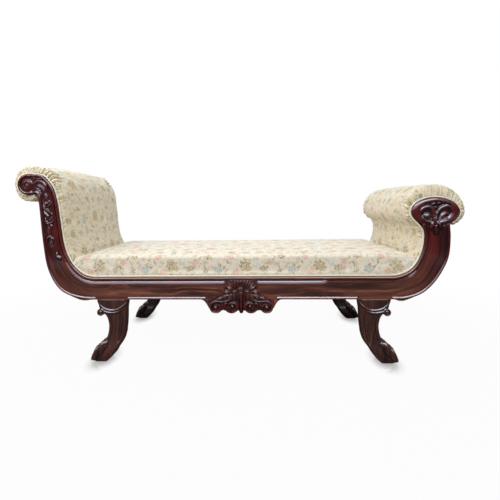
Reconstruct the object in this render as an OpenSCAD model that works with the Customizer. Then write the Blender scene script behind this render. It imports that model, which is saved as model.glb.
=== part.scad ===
// Recamier: a backless couch with a high head scroll, a low foot scroll, sabre legs and fixed upholstery.
// X runs along the couch with the high head end at -X, -Y is the front, and the origin lies on the floor.

/* [Overall] */
// Length from the head legs' centre to the outermost point of the head roll
head_reach = 413; // [370:1:460]
// Length between the head legs' centre and the foot legs' centre
leg_span = 1077; // [860:1:1300]
// Length from the foot legs' centre to the outermost point of the foot roll
foot_reach = 360; // [330:1:400]
// Depth over the crests of the front and back mouldings
frame_depth = 600; // [500:1:740]
// Height of the rails' underside above the floor
leg_h = 252; // [200:1:310]
// Height from the middle of the rails to the centre of the head scroll
head_rise = 438; // [360:1:520]
// Height from the middle of the rails to the centre of the foot scroll
foot_rise = 303; // [250:1:360]

/* [Side frames] */
// Height of the rails' moulded face
rail_h = 92; // [80:1:106]
// Thickness of rails and scroll uprights, front to back
rail_t = 52; // [44:1:64]
// Distance from a leg's centre to the joint between rail and upright
joint_out = 75; // [73:1:90]
// Radius of the round head scroll
head_scroll_r = 43; // [40:1:50]
// Half the width of the oval foot scroll
foot_scroll_rx = 95; // [84:1:106]
// Half the height of the oval foot scroll
foot_scroll_rz = 57; // [50:1:64]
// Height of the mouldings above the flat field between them
relief = 4; // [2:0.5:7]
// Width of the bead next to the upholstery
inner_bead = 12; // [8:0.5:14]
// Width of the groove beside that bead
groove_w = 5; // [2:0.5:7]
// Width of the second bead
second_bead = 11; // [7:0.5:14]
// Width of the bead along the outer edge
outer_bead = 13; // [8:0.5:16]
// Width of the carved eye of the head scroll
eye_w = 46; // [30:1:56]

/* [Legs] */
// Thickness of a leg, front to back
leg_t = 44; // [36:1:54]
// Width of a leg where it meets the rail
leg_top_w = 134; // [110:1:144]
// Width of a leg at its waist
leg_waist_w = 66; // [54:1:80]
// Distance that the waist stands towards the couch's middle from the leg's centre
waist_in = 20; // [12:1:26]
// Width of a paw across its toes, front to back
paw_w = 88; // [72:1:100]
// Distance from a leg's centre to the tips of its longest toes
paw_reach = 90; // [80:1:100]
// Height of a paw's knuckles
paw_h = 46; // [36:1:56]
// Radius of the small scroll on a leg's outer side
knob_r = 15; // [11:0.5:18]
// Height of the rounded shield that stands out at a leg's top
shield_proud = 3; // [2:0.5:4]
// Length of the tenon that holds a leg in its rail
tenon_l = 30; // [20:1:40]
// Width of that tenon along the rail
tenon_w = 60; // [44:1:70]
// Thickness of that tenon
tenon_t = 22; // [16:1:28]

/* [Apron] */
// Half the width of the apron under a rail
apron_half = 166; // [150:1:190]
// Depth of the apron below the rail
apron_drop = 58; // [50:1:68]
// Thickness of the apron board
apron_t = 30; // [20:1:40]
// Radius of the apron's two outer scrolls
outer_lobe_r = 27; // [22:0.5:30]
// Radius of the apron's two inner scrolls
inner_lobe_r = 32; // [28:0.5:34]
// Distance of the outer scrolls from the apron's middle
outer_lobe_x = 104; // [96:1:112]
// Distance of the inner scrolls from the apron's middle
inner_lobe_x = 40; // [36:1:46]
// Distance that the carved scrolls and leaves stand out
carving_proud = 9; // [6:0.5:12]
// Thickness of the ground that the carving stands on
carving_ground = 3; // [2:0.5:5]

/* [Upholstery] */
// Height of the seat's edge above the rails
seat_edge_h = 83; // [74:1:100]
// Rise of the seat from its edges to its middle
seat_crown = 13; // [6:1:24]
// Thickness of the padding on the head's inner face
head_pad = 26; // [18:1:34]
// Thickness of the padding on the foot's inner face
foot_pad = 19; // [14:1:26]
// Thickness of the roll over the head scroll
head_roll_top = 29; // [20:1:36]
// Thickness of the roll at the head scroll's side
head_roll_side = 17; // [12:1:24]
// Thickness of the roll under the head scroll
head_roll_under = 32; // [24:1:36]
// Thickness of the roll over the foot scroll
foot_roll_top = 49; // [36:1:60]
// Thickness of the roll at the foot scroll's outer side
foot_roll_side = 23; // [16:1:30]
// Thickness of the roll at the foot scroll's inner side
foot_roll_inner = 13; // [10:1:20]
// Thickness of the roll under the foot scroll
foot_roll_under = 12; // [8:1:16]
// Distance of the upholstery's borders behind the crests of the mouldings
border_inset = 12; // [11:1:18]
// Radius of the upholstery's soft edges
soft_edge = 20; // [14:1:26]
// Depth of the gathers at the ends of the rolls
gather_depth = 5; // [2:0.5:8]
// Diameter of the piping
piping_d = 6.5; // [5:0.5:7]
// Thickness of the outside covers
cover_t = 3; // [2:0.5:5]
// Distance that the outside covers belly out below the uprights' corners
cover_belly = 12; // [4:1:18]

/* [Inner frame] */
// Thickness of the bent arm panels
panel_t = 6; // [4:0.5:9]
// Width of the base rails that cross under the seat's ends
base_rail_w = 34; // [28:1:44]
// Height of the base rails
base_rail_h = 64; // [58:1:74]
// Width of a seat brace
brace_w = 38; // [28:1:50]
// Height of a seat brace
brace_h = 46; // [36:1:56]
// Distance from the apron's middle to a seat brace
brace_out = 205; // [150:1:260]
// Length of a corner block's two straight sides
block_leg = 62; // [54:1:74]
// Height of a corner block
block_h = 40; // [30:1:46]
// Length of the screws through the corner blocks
screw_l = 36; // [28:1:42]
// Diameter of those screws' shanks
screw_d = 5; // [4:0.5:6]
// Diameter of the round stretchers inside the arms
stretcher_d = 34; // [26:1:40]
// Width of a webbing strap
strap_w = 50; // [40:1:60]
// Thickness of a webbing strap
strap_t = 1.5; // [1:0.25:2]
// Distance between the middles of neighbouring cross straps
strap_pitch = 96; // [76:1:120]
// Thickness of the foam slab in the seat
foam_t = 46; // [34:1:52]
// Diameter of the dowels
dowel_d = 12; // [8:1:14]
// Length of the dowels between the rails and the uprights
dowel_l = 70; // [50:2:76]
// Length of the dowels at the ends of the cross members
cross_dowel_l = 60; // [44:2:70]
// Thickness of the dust cover under the seat
dust_cover_t = 1; // [0.5:0.25:2]

/* [Hidden] */

// Colours
rosewood = [0.24, 0.09, 0.06];
beech = [0.72, 0.56, 0.38];
cream = [0.86, 0.81, 0.66];
jute = [0.62, 0.50, 0.33];
steel = [0.62, 0.62, 0.60];
cambric = [0.10, 0.10, 0.11];

// Fits
soft_gap = 0.3;   // between a soft piece and what carries it
tenon_gap = 0.2;  // on each side of a tenon
bore_gap = 0.1;   // round a dowel or a screw
overrun = 1;      // how far a cut runs past the surface that it opens
$fn = 64;

// Places along the couch, head end at -X
head_side = -1;
foot_side = 1;
overall = head_reach + leg_span + foot_reach;
head_leg_x = head_reach - overall / 2;
foot_leg_x = overall / 2 - foot_reach;
head_joint_x = head_leg_x - joint_out;
foot_joint_x = foot_leg_x + joint_out;
apron_x = (head_leg_x + foot_leg_x) / 2;

// Distances from the middle plane, the same at the front and at the back
crest_y = frame_depth / 2;
field_y = crest_y - relief;
inner_y = crest_y - rail_t;
rail_y = crest_y - rail_t / 2;
leg_y = field_y - leg_t / 2;
border_y = crest_y - border_inset;

// Heights
rail_mid = leg_h + rail_h / 2;
rail_top = leg_h + rail_h;
field_top = rail_top - inner_bead - groove_w - second_bead;
seat_z = rail_top + seat_edge_h;
web_top = rail_top + 2 * strap_t;
head_scroll = [head_scroll_r + head_roll_side - overall / 2, rail_mid + head_rise];
foot_scroll = [overall / 2 - foot_scroll_rx - foot_roll_side, rail_mid + foot_rise];

// Uprights. Each row gives a place on the centre line as shares of its run and rise, the half width as a
// share of half the rail's height, and the slope in degrees of the line across. The first row only leads in.
head_shares = [
    [-0.15, 0, 1, 90], [0, 0, 1, 90], [0.182, 0.017, 1.07, 75], [0.353, 0.070, 1.21, 61],
    [0.471, 0.151, 1.24, 54], [0.567, 0.281, 1.15, 43], [0.621, 0.461, 0.98, 26],
    [0.656, 0.650, 0.90, 10], [0.685, 0.807, 0.86, 5], [0.719, 0.909, 0.82, 12],
    [0.773, 0.968, 0.80, 38], [0.862, 1.003, 0.91, 70], [0.97, 1, 0.80, 90]
];
foot_shares = [
    [-0.20, 0, 1, 90], [0, 0, 1, 90], [0.234, 0.015, 1.07, 82], [0.503, 0.071, 1.11, 66],
    [0.713, 0.172, 1.12, 54], [0.883, 0.318, 1.15, 42], [1.003, 0.488, 1.18, 29],
    [1.039, 0.678, 1.13, 13], [1.018, 0.802, 1.15, 0], [1.000, 0.967, 1.15, 0]
];
joint_row = 1;     // row at the joint with the rail
head_seam = 4;     // row where the seat meets the head's padding
foot_seam = 4.5;   // row where the seat meets the foot's padding
head_last = len(head_shares) - 1;
foot_last = len(foot_shares) - 1;
foot_neck = foot_last - 1;
head_mid = 8;      // row of the head's neck stretcher
foot_mid = 6.5;    // row of the foot's neck stretcher
corner_row = 3.5;  // row of the corner stretchers
half_step = 0.5;   // between two stations of an upright, in rows

// Rolls: angles from the outer side of each scroll, in degrees
head_roll_start = 82.5;
head_roll_end = 300;
head_roll_step = 7.5;
head_folds = 12;
foot_roll_start = 225;
foot_roll_end = -50;
foot_roll_step = 5;
foot_folds = 18;

// Adds up a list of vectors
function total(list) = [for (item = list) 1] * list;

// The same list backwards
function backwards(list) = [for (i = [len(list) - 1:-1:0]) list[i]];

// Point at place t on a smooth curve through the rows of a table
function smooth(rows, t) =
    let (last = len(rows) - 1, i = min(floor(t), last - 1), u = t - i,
         a = i > 0 ? rows[i - 1] : 2 * rows[0] - rows[1], b = rows[i], c = rows[i + 1],
         d = i + 2 <= last ? rows[i + 2] : 2 * rows[last] - rows[last - 1])
    b + u / 2 * (c - a + u * (2 * a - 5 * b + 4 * c - d + u * (3 * (b - c) + d - a)));

// Solid through closed rings of equally many points
module skin(rings) {
    n = len(rings[0]);
    last = len(rings) - 1;
    around = total([for (i = [0:n - 1]) cross(rings[0][i], rings[0][(i + 1) % n])]);
    along = total(rings[1]) - total(rings[0]);
    sides = [for (k = [0:last - 1]) for (i = [0:n - 1])
        let (a = k * n + i, b = k * n + (i + 1) % n, c = b + n, d = a + n)
        each [[a, c, b], [a, d, c]]];
    caps = [[for (i = [0:n - 1]) i], [for (i = [n - 1:-1:0]) last * n + i]];
    faces = concat(sides, caps);
    polyhedron([for (ring = rings) each ring],
        around * along > 0 ? faces : [for (face = faces) backwards(face)], convexity = 6);
}

// Soft band that lies on a curve: outer[j] are the curves over it at the depths ys[j], inner is the curve
// itself, and both have equally many points
module band(outer, inner, ys) {
    n = len(inner);
    m = len(ys);
    points = concat([for (j = [0:m - 1]) for (p = outer[j]) [p[0], ys[j], p[1]]],
        [for (y = [ys[0], ys[m - 1]]) for (p = inner) [p[0], y, p[1]]]);
    front = m * n;
    back = front + n;
    ring = [for (p = concat(outer[0], backwards(inner))) [p[0], ys[0], p[1]]];
    around = total([for (i = [0:2 * n - 1]) cross(ring[i], ring[(i + 1) % (2 * n)])]);
    over = [for (j = [0:m - 2]) for (k = [0:n - 2])
        let (a = j * n + k, b = a + 1, c = b + n, d = a + n)
        each [[a, c, b], [a, d, c]]];
    under = [for (k = [0:n - 2]) [front + k + 1, back + k + 1, back + k, front + k]];
    caps = [for (k = [0:n - 2]) each [[k, k + 1, front + k + 1, front + k],
        [back + k, back + k + 1, (m - 1) * n + k + 1, (m - 1) * n + k]]];
    ends = [concat([front, back], [for (j = [m - 1:-1:0]) j * n]),
        concat([front + n - 1], [for (j = [0:m - 1]) j * n + n - 1], [back + n - 1])];
    faces = concat(over, under, caps, ends);
    polyhedron(points, around[1] > 0 ? faces : [for (face = faces) backwards(face)], convexity = 8);
}

// Extrudes an outline drawn in X and Z from one distance in front of the middle plane to another
module slab(near, far) {
    rotate([90, 0, 0]) translate([0, 0, near]) linear_extrude(far - near) children();
}

// The whole child again at the back
module at_back() {
    mirror([0, 1, 0]) children();
}

// Station of an upright: its middle, half width and the direction across it, towards the sitter
function station(side, t) =
    let (row = side == head_side ? smooth(head_shares, t) : smooth(foot_shares, t),
         joint_x = side == head_side ? head_joint_x : foot_joint_x,
         scroll = side == head_side ? head_scroll : foot_scroll)
    [[joint_x + row[0] * (scroll[0] - joint_x), rail_mid + row[1] * (scroll[1] - rail_mid)],
     row[2] * rail_h / 2, [-side * cos(row[3]), sin(row[3])]];

// Points on an upright's inner and outer edge, lifted off it by a distance, and its middle
function inner_edge(side, t, lift = 0) = let (s = station(side, t)) s[0] + (s[1] + lift) * s[2];
function outer_edge(side, t, lift = 0) = let (s = station(side, t)) s[0] - (s[1] + lift) * s[2];
function middle(side, t) = station(side, t)[0];

// Moulded section: distances from the inner edge and from the middle plane
function moulded(width) = concat([[0, inner_y]],
    [for (bead = [[0, inner_bead], [inner_bead + groove_w, second_bead], [width - outer_bead, outer_bead]])
        for (s = [[0, 0], [0.2, 0.75], [0.5, 1], [0.8, 0.75], [1, 0]])
            [bead[0] + s[0] * bead[1], field_y + s[1] * relief]],
    [[width, inner_y]]);

// Front rail's bar with its mouldings
module moulded_bar() {
    translate([head_joint_x, 0, 0]) rotate([90, 0, 90]) linear_extrude(foot_joint_x - head_joint_x)
        polygon([for (p = moulded(rail_h)) [-p[1], rail_top - p[0]]]);
}

// Dowels between a rail and its uprights, with a gap all round when they are bores
module end_dowels(gap) {
    for (x = [head_joint_x, foot_joint_x], z = [rail_mid - rail_h / 5, rail_mid + rail_h / 5])
        translate([x, -rail_y, z]) rotate([0, 90, 0])
            cylinder(d = dowel_d + 2 * gap, h = dowel_l + 2 * gap, center = true);
}

// Dowels between the front rail and the cross members
brace_share = 0.7;   // height of a brace's middle over the rails' underside as a share of its own height
base_xs = [head_joint_x + base_rail_w / 2, foot_joint_x - base_rail_w / 2];
brace_xs = [apron_x - brace_out, apron_x + brace_out];
brace_z = leg_h + brace_h * brace_share;
module cross_dowels(gap) {
    for (x = base_xs, z = [rail_mid, rail_top - dowel_d]) cross_dowel(x, z, gap);
    for (x = brace_xs, z = [brace_z - brace_h / 4, brace_z + brace_h / 4]) cross_dowel(x, z, gap);
}
module cross_dowel(x, z, gap) {
    translate([x, -inner_y, z]) rotate([90, 0, 0])
        cylinder(d = dowel_d + 2 * gap, h = cross_dowel_l + 2 * gap, center = true);
}

// Corner blocks at the front: where their square corners stand and which way they point
block_corners = [[head_joint_x + base_rail_w, foot_side], [foot_joint_x - base_rail_w, head_side]];
block_z = rail_top - base_rail_h / 2;
screw_share = 0.55;   // place of a screw along a block's side
screw_depth_share = 0.45;   // share of a screw that stays in the block
module corner_block(x, way) {
    difference() {
        translate([x, -inner_y, block_z - block_h / 2]) linear_extrude(block_h)
            polygon([[0, 0], [way * block_leg, 0], [0, block_leg]]);
        block_screws(x, way, bore_gap);
        block_pockets(x, way);
    }
}
module block_screws(x, way, gap) {
    reach = screw_share * block_leg;
    inside = screw_depth_share * screw_l;
    translate([x + way * reach, inside - inner_y, block_z]) rotate([90, 0, 0]) screw(gap);
    translate([x + way * inside, reach - inner_y, block_z]) rotate([0, -way * 90, 0]) screw(gap);
}
module block_pockets(x, way) {
    reach = screw_share * block_leg;
    inside = screw_depth_share * screw_l - bore_gap;
    pocket_d = 3 * screw_d;
    translate([x + way * reach, inside - inner_y, block_z]) rotate([-90, 0, 0])
        cylinder(d = pocket_d, h = block_leg);
    translate([x + way * inside, reach - inner_y, block_z]) rotate([0, way * 90, 0])
        cylinder(d = pocket_d, h = block_leg);
}
module screw(gap) {
    cylinder(d = screw_d + 2 * gap, h = screw_l + gap);
    cylinder(d1 = 2 * screw_d + 2 * gap, d2 = screw_d + 2 * gap, h = screw_d / 2);
}

// Front rail, with seats for the leg tenons, the dowels, the screws and the carving
carving_top_share = 0.37;
carving_foot_share = 0.87;
module front_rail_body() {
    difference() {
        moulded_bar();
        for (x = [head_leg_x, foot_leg_x]) {
            leg_tenon(x, tenon_gap);
            moulding_stop(x, leg_top_w / 2, leg_h, outer_bead);
        }
        moulding_stop(apron_x, carving_foot_share * apron_half, leg_h, outer_bead);
        moulding_stop(apron_x, carving_top_share * apron_half, field_top, second_bead);
        end_dowels(bore_gap);
        cross_dowels(bore_gap);
        for (corner = block_corners) block_screws(corner[0], corner[1], bore_gap);
    }
}
module moulding_stop(x, half_w, z, h) {
    translate([x - half_w, -crest_y - overrun, z]) cube([2 * half_w, relief + overrun, h]);
}
module leg_tenon(x, gap) {
    translate([x - tenon_w / 2 - gap, -leg_y - tenon_t / 2 - gap, leg_h - gap])
        cube([tenon_w + 2 * gap, tenon_t + 2 * gap, tenon_l + 2 * gap]);
}
module front_rail() { color(rosewood) front_rail_body(); }
module back_rail() { color(rosewood) at_back() front_rail_body(); }

// Upright from the rail's end into its scroll
module upright_bar(side, last) {
    scale([side, 1, 1]) skin([for (t = [joint_row:half_step:last])
        let (s = station(side, t), top = inner_edge(side, t))
        [for (p = moulded(2 * s[1])) [side * (top[0] - p[0] * s[2][0]), -p[1], top[1] - p[0] * s[2][1]]]]);
}

// Round head scroll with a rim bead and a domed eye
module head_disc() {
    r = head_scroll_r;
    eye = eye_w / 2;
    translate([head_scroll[0], 0, head_scroll[1]]) rotate([90, 0, 0]) rotate_extrude() polygon(concat(
        [[0, inner_y], [r, inner_y], [r, field_y]],
        [for (s = [[0.2, 0.75], [0.5, 1.1], [0.8, 0.75], [1, 0.2]])
            [r - s[0] * inner_bead, field_y + s[1] * relief]],
        [for (s = [[1, 0.2], [0.95, 0.5], [0.8, 0.9], [0.55, 0.95], [0.45, 0.6], [0.35, 0.7], [0.2, 1.5],
                [0, 1.5]])
            [s[0] * eye, field_y + s[1] * relief]]));
}

// Room in the upright's mouldings for that scroll
module head_disc_seat() {
    translate([head_scroll[0], inner_bead / 2 - field_y, head_scroll[1]]) rotate([90, 0, 0])
        cylinder(r = head_scroll_r - inner_bead / 2, h = inner_bead);
}

// Oval foot scroll with a rim bead
oval_sides = 48;
function oval(y, inset) = [for (i = [0:oval_sides - 1]) let (a = 360 * i / oval_sides)
    [foot_scroll[0] + (foot_scroll_rx - inset) * cos(a), -y,
     foot_scroll[1] + (foot_scroll_rz - inset) * sin(a)]];
module foot_oval() {
    skin(concat([oval(inner_y, 0), oval(field_y, 0)],
        [for (s = [[0.2, 0.75], [0.5, 1], [0.8, 0.75], [1, 0]])
            oval(field_y + s[1] * relief, s[0] * inner_bead)]));
}

// Leaf with a ridge, from one point of the front's plane to another, bent sideways by a share of its length
leaf_shares = [[0, 0.25], [0.2, 0.8], [0.5, 1], [0.8, 0.6], [1, 0.12]];
module leaf(from, to, width, height, bend = 0) {
    run = to - from;
    across = [-run[1], run[0]] / norm(run);
    skin([for (s = leaf_shares)
        let (mid = from + s[0] * run + bend * norm(run) * sin(180 * s[0]) * across, w = s[1] * width / 2,
             h = s[1] * height)
        [for (q = [[-1, 0], [-0.7, 0.6], [0, 1], [0.7, 0.6], [1, 0]])
            [mid[0] + q[0] * w * across[0], -field_y - q[1] * h, mid[1] + q[0] * w * across[1]]]]);
}

// Small scroll with a raised rim and eye
module volute(x, z, r, height) {
    translate([x, 0, z]) rotate([90, 0, 0]) rotate_extrude() polygon(concat(
        [[0, field_y - relief / 2], [r, field_y - relief / 2]],
        [for (s = [[1, 0.35], [0.92, 0.8], [0.78, 0.9], [0.62, 0.5], [0.5, 0.45], [0.36, 0.9], [0.2, 1],
                [0, 1]])
            [s[0] * r, field_y + s[1] * height]]));
}

// Foot scroll's carving: a small scroll on each side, placed by shares of the oval's half width and height
volute_shares = [[-0.38, -0.36], [0.46, -0.26]];
volute_r = 0.3 * foot_scroll_rz;
module foot_scroll_carving() {
    for (s = volute_shares)
        volute(foot_scroll[0] + s[0] * foot_scroll_rx, foot_scroll[1] + s[1] * foot_scroll_rz, volute_r,
            relief);
}

module head_upright_body() {
    difference() {
        union() {
            difference() {
                upright_bar(head_side, head_last);
                head_disc_seat();
            }
            head_disc();
        }
        end_dowels(bore_gap);
    }
}
module foot_upright_body() {
    difference() {
        union() {
            upright_bar(foot_side, foot_last);
            foot_oval();
            foot_scroll_carving();
        }
        end_dowels(bore_gap);
    }
}
module head_front_upright() { color(rosewood) head_upright_body(); }
module head_back_upright() { color(rosewood) at_back() head_upright_body(); }
module foot_front_upright() { color(rosewood) foot_upright_body(); }
module foot_back_upright() { color(rosewood) at_back() foot_upright_body(); }

// Apron under the rail: shoulders that sweep down to two outer and two inner scrolls and a middle drop
outer_lobe_z = leg_h - apron_drop + outer_lobe_r;
inner_lobe_z = leg_h - apron_drop + inner_lobe_r;
drop_r = apron_drop / 7;
shoulder_shares = [[1, 0], [0.96, 0.02], [0.90, 0.13], [0.845, 0.36], [0.80, 0.6], [0.62, 0.8]];
// Outline whose right half is given as shares of the apron's half width and of a height over the underside
// of the rail
function mirrored(shares, rise) = [for (way = [1, -1]) for (s = way > 0 ? shares : backwards(shares))
    [apron_x + way * s[0] * apron_half, leg_h + s[1] * rise]];
module lobe(x, z, r, near, far) {
    for (way = [-1, 1]) slab(near, far) translate([apron_x + way * x, z]) circle(r);
}
module apron_body() {
    near = field_y - apron_t;
    difference() {
        union() {
            slab(near, field_y) polygon(mirrored(shoulder_shares, -apron_drop));
            lobe(outer_lobe_x, outer_lobe_z, outer_lobe_r, near, field_y);
            lobe(inner_lobe_x, inner_lobe_z, inner_lobe_r, near, field_y);
            slab(near, field_y) translate([apron_x, leg_h - apron_drop + drop_r]) circle(drop_r);
        }
        lobe(notch_x, leg_h - notch_share * apron_drop, notch_r, near - overrun, field_y + overrun);
        translate([apron_x - apron_half, -field_y - overrun, leg_h])
            cube([2 * apron_half, apron_t + 2 * overrun, apron_drop]);
    }
}
notch_x = (outer_lobe_x - outer_lobe_r + inner_lobe_x + inner_lobe_r) / 2;
notch_r = apron_drop / 6;
notch_share = 0.94;   // depth of the notches' centres as a share of the apron's drop
module front_apron() { color(rosewood) apron_body(); }
module back_apron() { color(rosewood) at_back() apron_body(); }

// Carving on the apron and the rail's middle: four scrolls, leaves on both sides, a drop and a middle tip
ground_shares = [
    [0.37, 0.98], [0.40, 0.70], [0.55, 0.46], [0.78, 0.30], [0.87, 0.10], [0.86, 0], [0.62, -0.35]
];
carving_rise = rail_h - inner_bead - groove_w;
lobe_ground_share = 0.93;   // radius of the ground on a lobe as a share of the lobe's
lobe_scroll_share = 0.88;   // radius of the scroll on a lobe as a share of the lobe's
module carving_body() {
    far = field_y + carving_ground;
    slab(field_y, far) polygon(mirrored(ground_shares, carving_rise));
    lobe(outer_lobe_x, outer_lobe_z, lobe_ground_share * outer_lobe_r, field_y, far);
    lobe(inner_lobe_x, inner_lobe_z, lobe_ground_share * inner_lobe_r, field_y, far);
    for (way = [-1, 1]) {
        carved_scroll(apron_x + way * outer_lobe_x, outer_lobe_z, lobe_scroll_share * outer_lobe_r);
        carved_scroll(apron_x + way * inner_lobe_x, inner_lobe_z, lobe_scroll_share * inner_lobe_r);
        carving_leaf(way * [0.66, 1], [0, 0.10], way * [0.22, 1], [0, 0.36], 0.12 * way);
        carving_leaf(way * [0.24, 1], [0, 0.52], way * [0.50, 1], [0, 0.40], 0.12 * way);
        carving_leaf(way * [0.10, 1], [0, 0.56], way * [0.31, 1], [0, 0.86], -0.10 * way);
    }
    carving_leaf([0, 1], [0, 0.50], [0, 1], [0, 0.95], 0);
    carving_leaf([0, 1], [0, 0.42], [0, 1], [0, -0.34], 0);
}
module carved_scroll(x, z, r) {
    translate([x, 0, z]) rotate([90, 0, 0]) rotate_extrude() polygon(concat(
        [[0, field_y], [r, field_y]],
        [for (s = [[1, 0.4], [0.93, 0.8], [0.8, 0.95], [0.66, 0.55], [0.52, 0.5], [0.38, 0.85], [0.2, 1],
                [0, 1]])
            [s[0] * r, field_y + s[1] * carving_proud]]));
}
// Leaf between two places given as shares of the carving's half width and rise
module carving_leaf(from_x, from_z, to_x, to_z, bend) {
    leaf([apron_x + from_x[0] * apron_half, leg_h + from_z[1] * carving_rise],
        [apron_x + to_x[0] * apron_half, leg_h + to_z[1] * carving_rise],
        carving_rise / 4, carving_proud, bend);
}
module front_apron_carving() { color(rosewood) carving_body(); }
module back_apron_carving() { color(rosewood) at_back() carving_body(); }

// Sabre leg. Each row gives a height as a share of the leg's, how far the inner and the outer edge have gone
// from the top (0) over the waist (1) to the paw (2), and how far the thickness has gone to the paw's.
leg_shares = [
    [1, 0, 0, 0], [0.93, 0.14, 0.04, 0], [0.86, 0.43, 0.19, 0], [0.79, 0.57, 0.46, 0], [0.71, 0.71, 0.80, 0],
    [0.63, 0.86, 0.94, 0], [0.56, 1, 1, 0], [0.45, 1.05, 1.06, 0.03], [0.35, 1.15, 1.23, 0.15],
    [0.27, 1.29, 1.55, 0.40], [0.18, 1.51, 1.77, 0.75], [0.08, 1.72, 1.92, 0.95], [0, 2, 2, 0.85]
];
heel_share = 0.24;    // the heel's place on the floor as a share of the paw's reach
ball_share = 0.81;    // the paw's body as a share of its reach
paw_body_share = 0.84; // the paw's body as a share of its width
corner_share = 0.16;  // a leg's rounded corner as a share of its width
leg_last = len(leg_shares) - 1;
leg_inner_edges = [-leg_top_w / 2, -waist_in - leg_waist_w / 2, heel_share * paw_reach];
leg_outer_edges = [leg_top_w / 2, leg_waist_w / 2 - waist_in, ball_share * paw_reach];
function among(values, s) =
    s < 1 ? values[0] + s * (values[1] - values[0]) : values[1] + (s - 1) * (values[2] - values[1]);
module leg_core(leg_x, side) {
    skin([for (t = [0:half_step:leg_last])
        let (s = smooth(leg_shares, t), x0 = among(leg_inner_edges, s[1]), x1 = among(leg_outer_edges, s[2]),
             y = leg_t / 2 + max(0, s[3]) * (paw_body_share * paw_w - leg_t) / 2,
             c = corner_share * (x1 - x0))
        [for (p = [[x0, y - c], [x0 + c, y], [(x0 + x1) / 2, y], [x1 - c, y], [x1, y - c],
                   [x1, c - y], [x1 - c, -y], [(x0 + x1) / 2, -y], [x0 + c, -y], [x0, c - y]])
            [leg_x + side * p[0], p[1] - leg_y, s[0] * leg_h]]]);
}

// Toe: places outwards, heights of its middle, half heights and half widths, as shares of the paw's reach,
// its knuckles' height and half its width
toe_shares = [[0.46, 0.60, 0.30, 0.10], [0.62, 0.66, 0.36, 0.22], [0.78, 0.58, 0.40, 0.25],
    [0.90, 0.40, 0.36, 0.23], [1, 0.24, 0.20, 0.12]];
toe_places_share = [-0.75, -0.26, 0.26, 0.75];
toe_sides = 8;
module toe(leg_x, side, place) {
    reach = paw_reach * (1 - outer_toe_share * abs(place));
    skin([for (s = toe_shares) [for (i = [0:toe_sides - 1]) let (a = 360 * i / toe_sides)
        [leg_x + side * s[0] * reach,
         place * paw_w / 2 * (1 - toe_spread_share * (1 - s[0])) + s[3] * paw_w / 2 * cos(a) - leg_y,
         (s[1] + s[2] * sin(a)) * paw_h]]]);
}
shield_share = 0.84;   // width of the shield as a share of the leg's top
knob_x_share = 0.35;   // place of the knob outwards as a share of the leg's top width
knob_z_share = 0.79;   // height of the knob as a share of the leg's
toe_spread_share = 0.28;   // part of the toes' sideways spread that grows with their length
outer_toe_share = 0.10;    // length that the outermost toes lose
module leg_shield(leg_x) {
    r = shield_share * leg_top_w / 2;
    intersection() {
        translate([leg_x, 0, leg_h + outer_bead]) rotate([90, 0, 0])
            translate([0, 0, field_y - shield_proud]) cylinder(r = r, h = 2 * shield_proud);
        translate([leg_x - r, -crest_y, leg_h - r]) cube([2 * r, 2 * rail_t, r]);
    }
}
module leg_body(leg_x, side) {
    leg_core(leg_x, side);
    for (place = toe_places_share) toe(leg_x, side, place);
    leg_shield(leg_x);
    translate([leg_x + side * knob_x_share * leg_top_w, -leg_y, knob_z_share * leg_h]) rotate([90, 0, 0])
        cylinder(r = knob_r, h = leg_t, center = true);
    leg_tenon(leg_x, 0);
}
module head_front_leg() { color(rosewood) leg_body(head_leg_x, head_side); }
module head_back_leg() { color(rosewood) at_back() leg_body(head_leg_x, head_side); }
module foot_front_leg() { color(rosewood) leg_body(foot_leg_x, foot_side); }
module foot_back_leg() { color(rosewood) at_back() leg_body(foot_leg_x, foot_side); }

// Cross members between the front and the back frame
module both_faces() {
    children();
    at_back() children();
}
module cross_member(x, w, z, h) {
    difference() {
        translate([x - w / 2, -inner_y, z]) cube([w, 2 * inner_y, h]);
        both_faces() cross_dowels(bore_gap);
        both_faces() for (corner = block_corners) block_screws(corner[0], corner[1], bore_gap);
    }
}
module base_rail(x) { color(beech) cross_member(x, base_rail_w, rail_top - base_rail_h, base_rail_h); }
module seat_brace(x) { color(beech) cross_member(x, brace_w, brace_z - brace_h / 2, brace_h); }
module head_base_rail() { base_rail(base_xs[0]); }
module foot_base_rail() { base_rail(base_xs[1]); }
module head_seat_brace() { seat_brace(brace_xs[0]); }
module foot_seat_brace() { seat_brace(brace_xs[1]); }

module stretcher(place) {
    color(beech) translate([place[0], 0, place[1]]) rotate([90, 0, 0])
        cylinder(d = stretcher_d, h = 2 * inner_y, center = true);
}
module head_corner_stretcher() { stretcher(middle(head_side, corner_row)); }
module foot_corner_stretcher() { stretcher(middle(foot_side, corner_row)); }
module head_neck_stretcher() { stretcher(middle(head_side, head_mid)); }
module foot_neck_stretcher() { stretcher(middle(foot_side, foot_mid)); }
module head_roll_core() {
    color(beech) translate([head_scroll[0], 0, head_scroll[1]]) rotate([90, 0, 0])
        cylinder(r = head_scroll_r, h = 2 * inner_y, center = true);
}
module foot_roll_core() {
    color(beech) slab(-inner_y, inner_y) polygon([for (p = oval(0, 0)) [p[0], p[2]]]);
}

// Strip between two lifts off an upright's inner edge
module arm_strip(side, first, last, low, high) {
    ts = [first:half_step:last];
    polygon(concat([for (t = ts) inner_edge(side, t, low)],
        backwards([for (t = ts) inner_edge(side, t, high)])));
}
panel_row = 2;     // row where the arm panels start
module arm_panel(side, last) {
    color(beech) slab(-inner_y, inner_y) arm_strip(side, panel_row, last, -panel_t, 0);
}
module head_arm_panel() { arm_panel(head_side, head_last - 1); }
module foot_arm_panel() { arm_panel(foot_side, foot_neck); }

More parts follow.
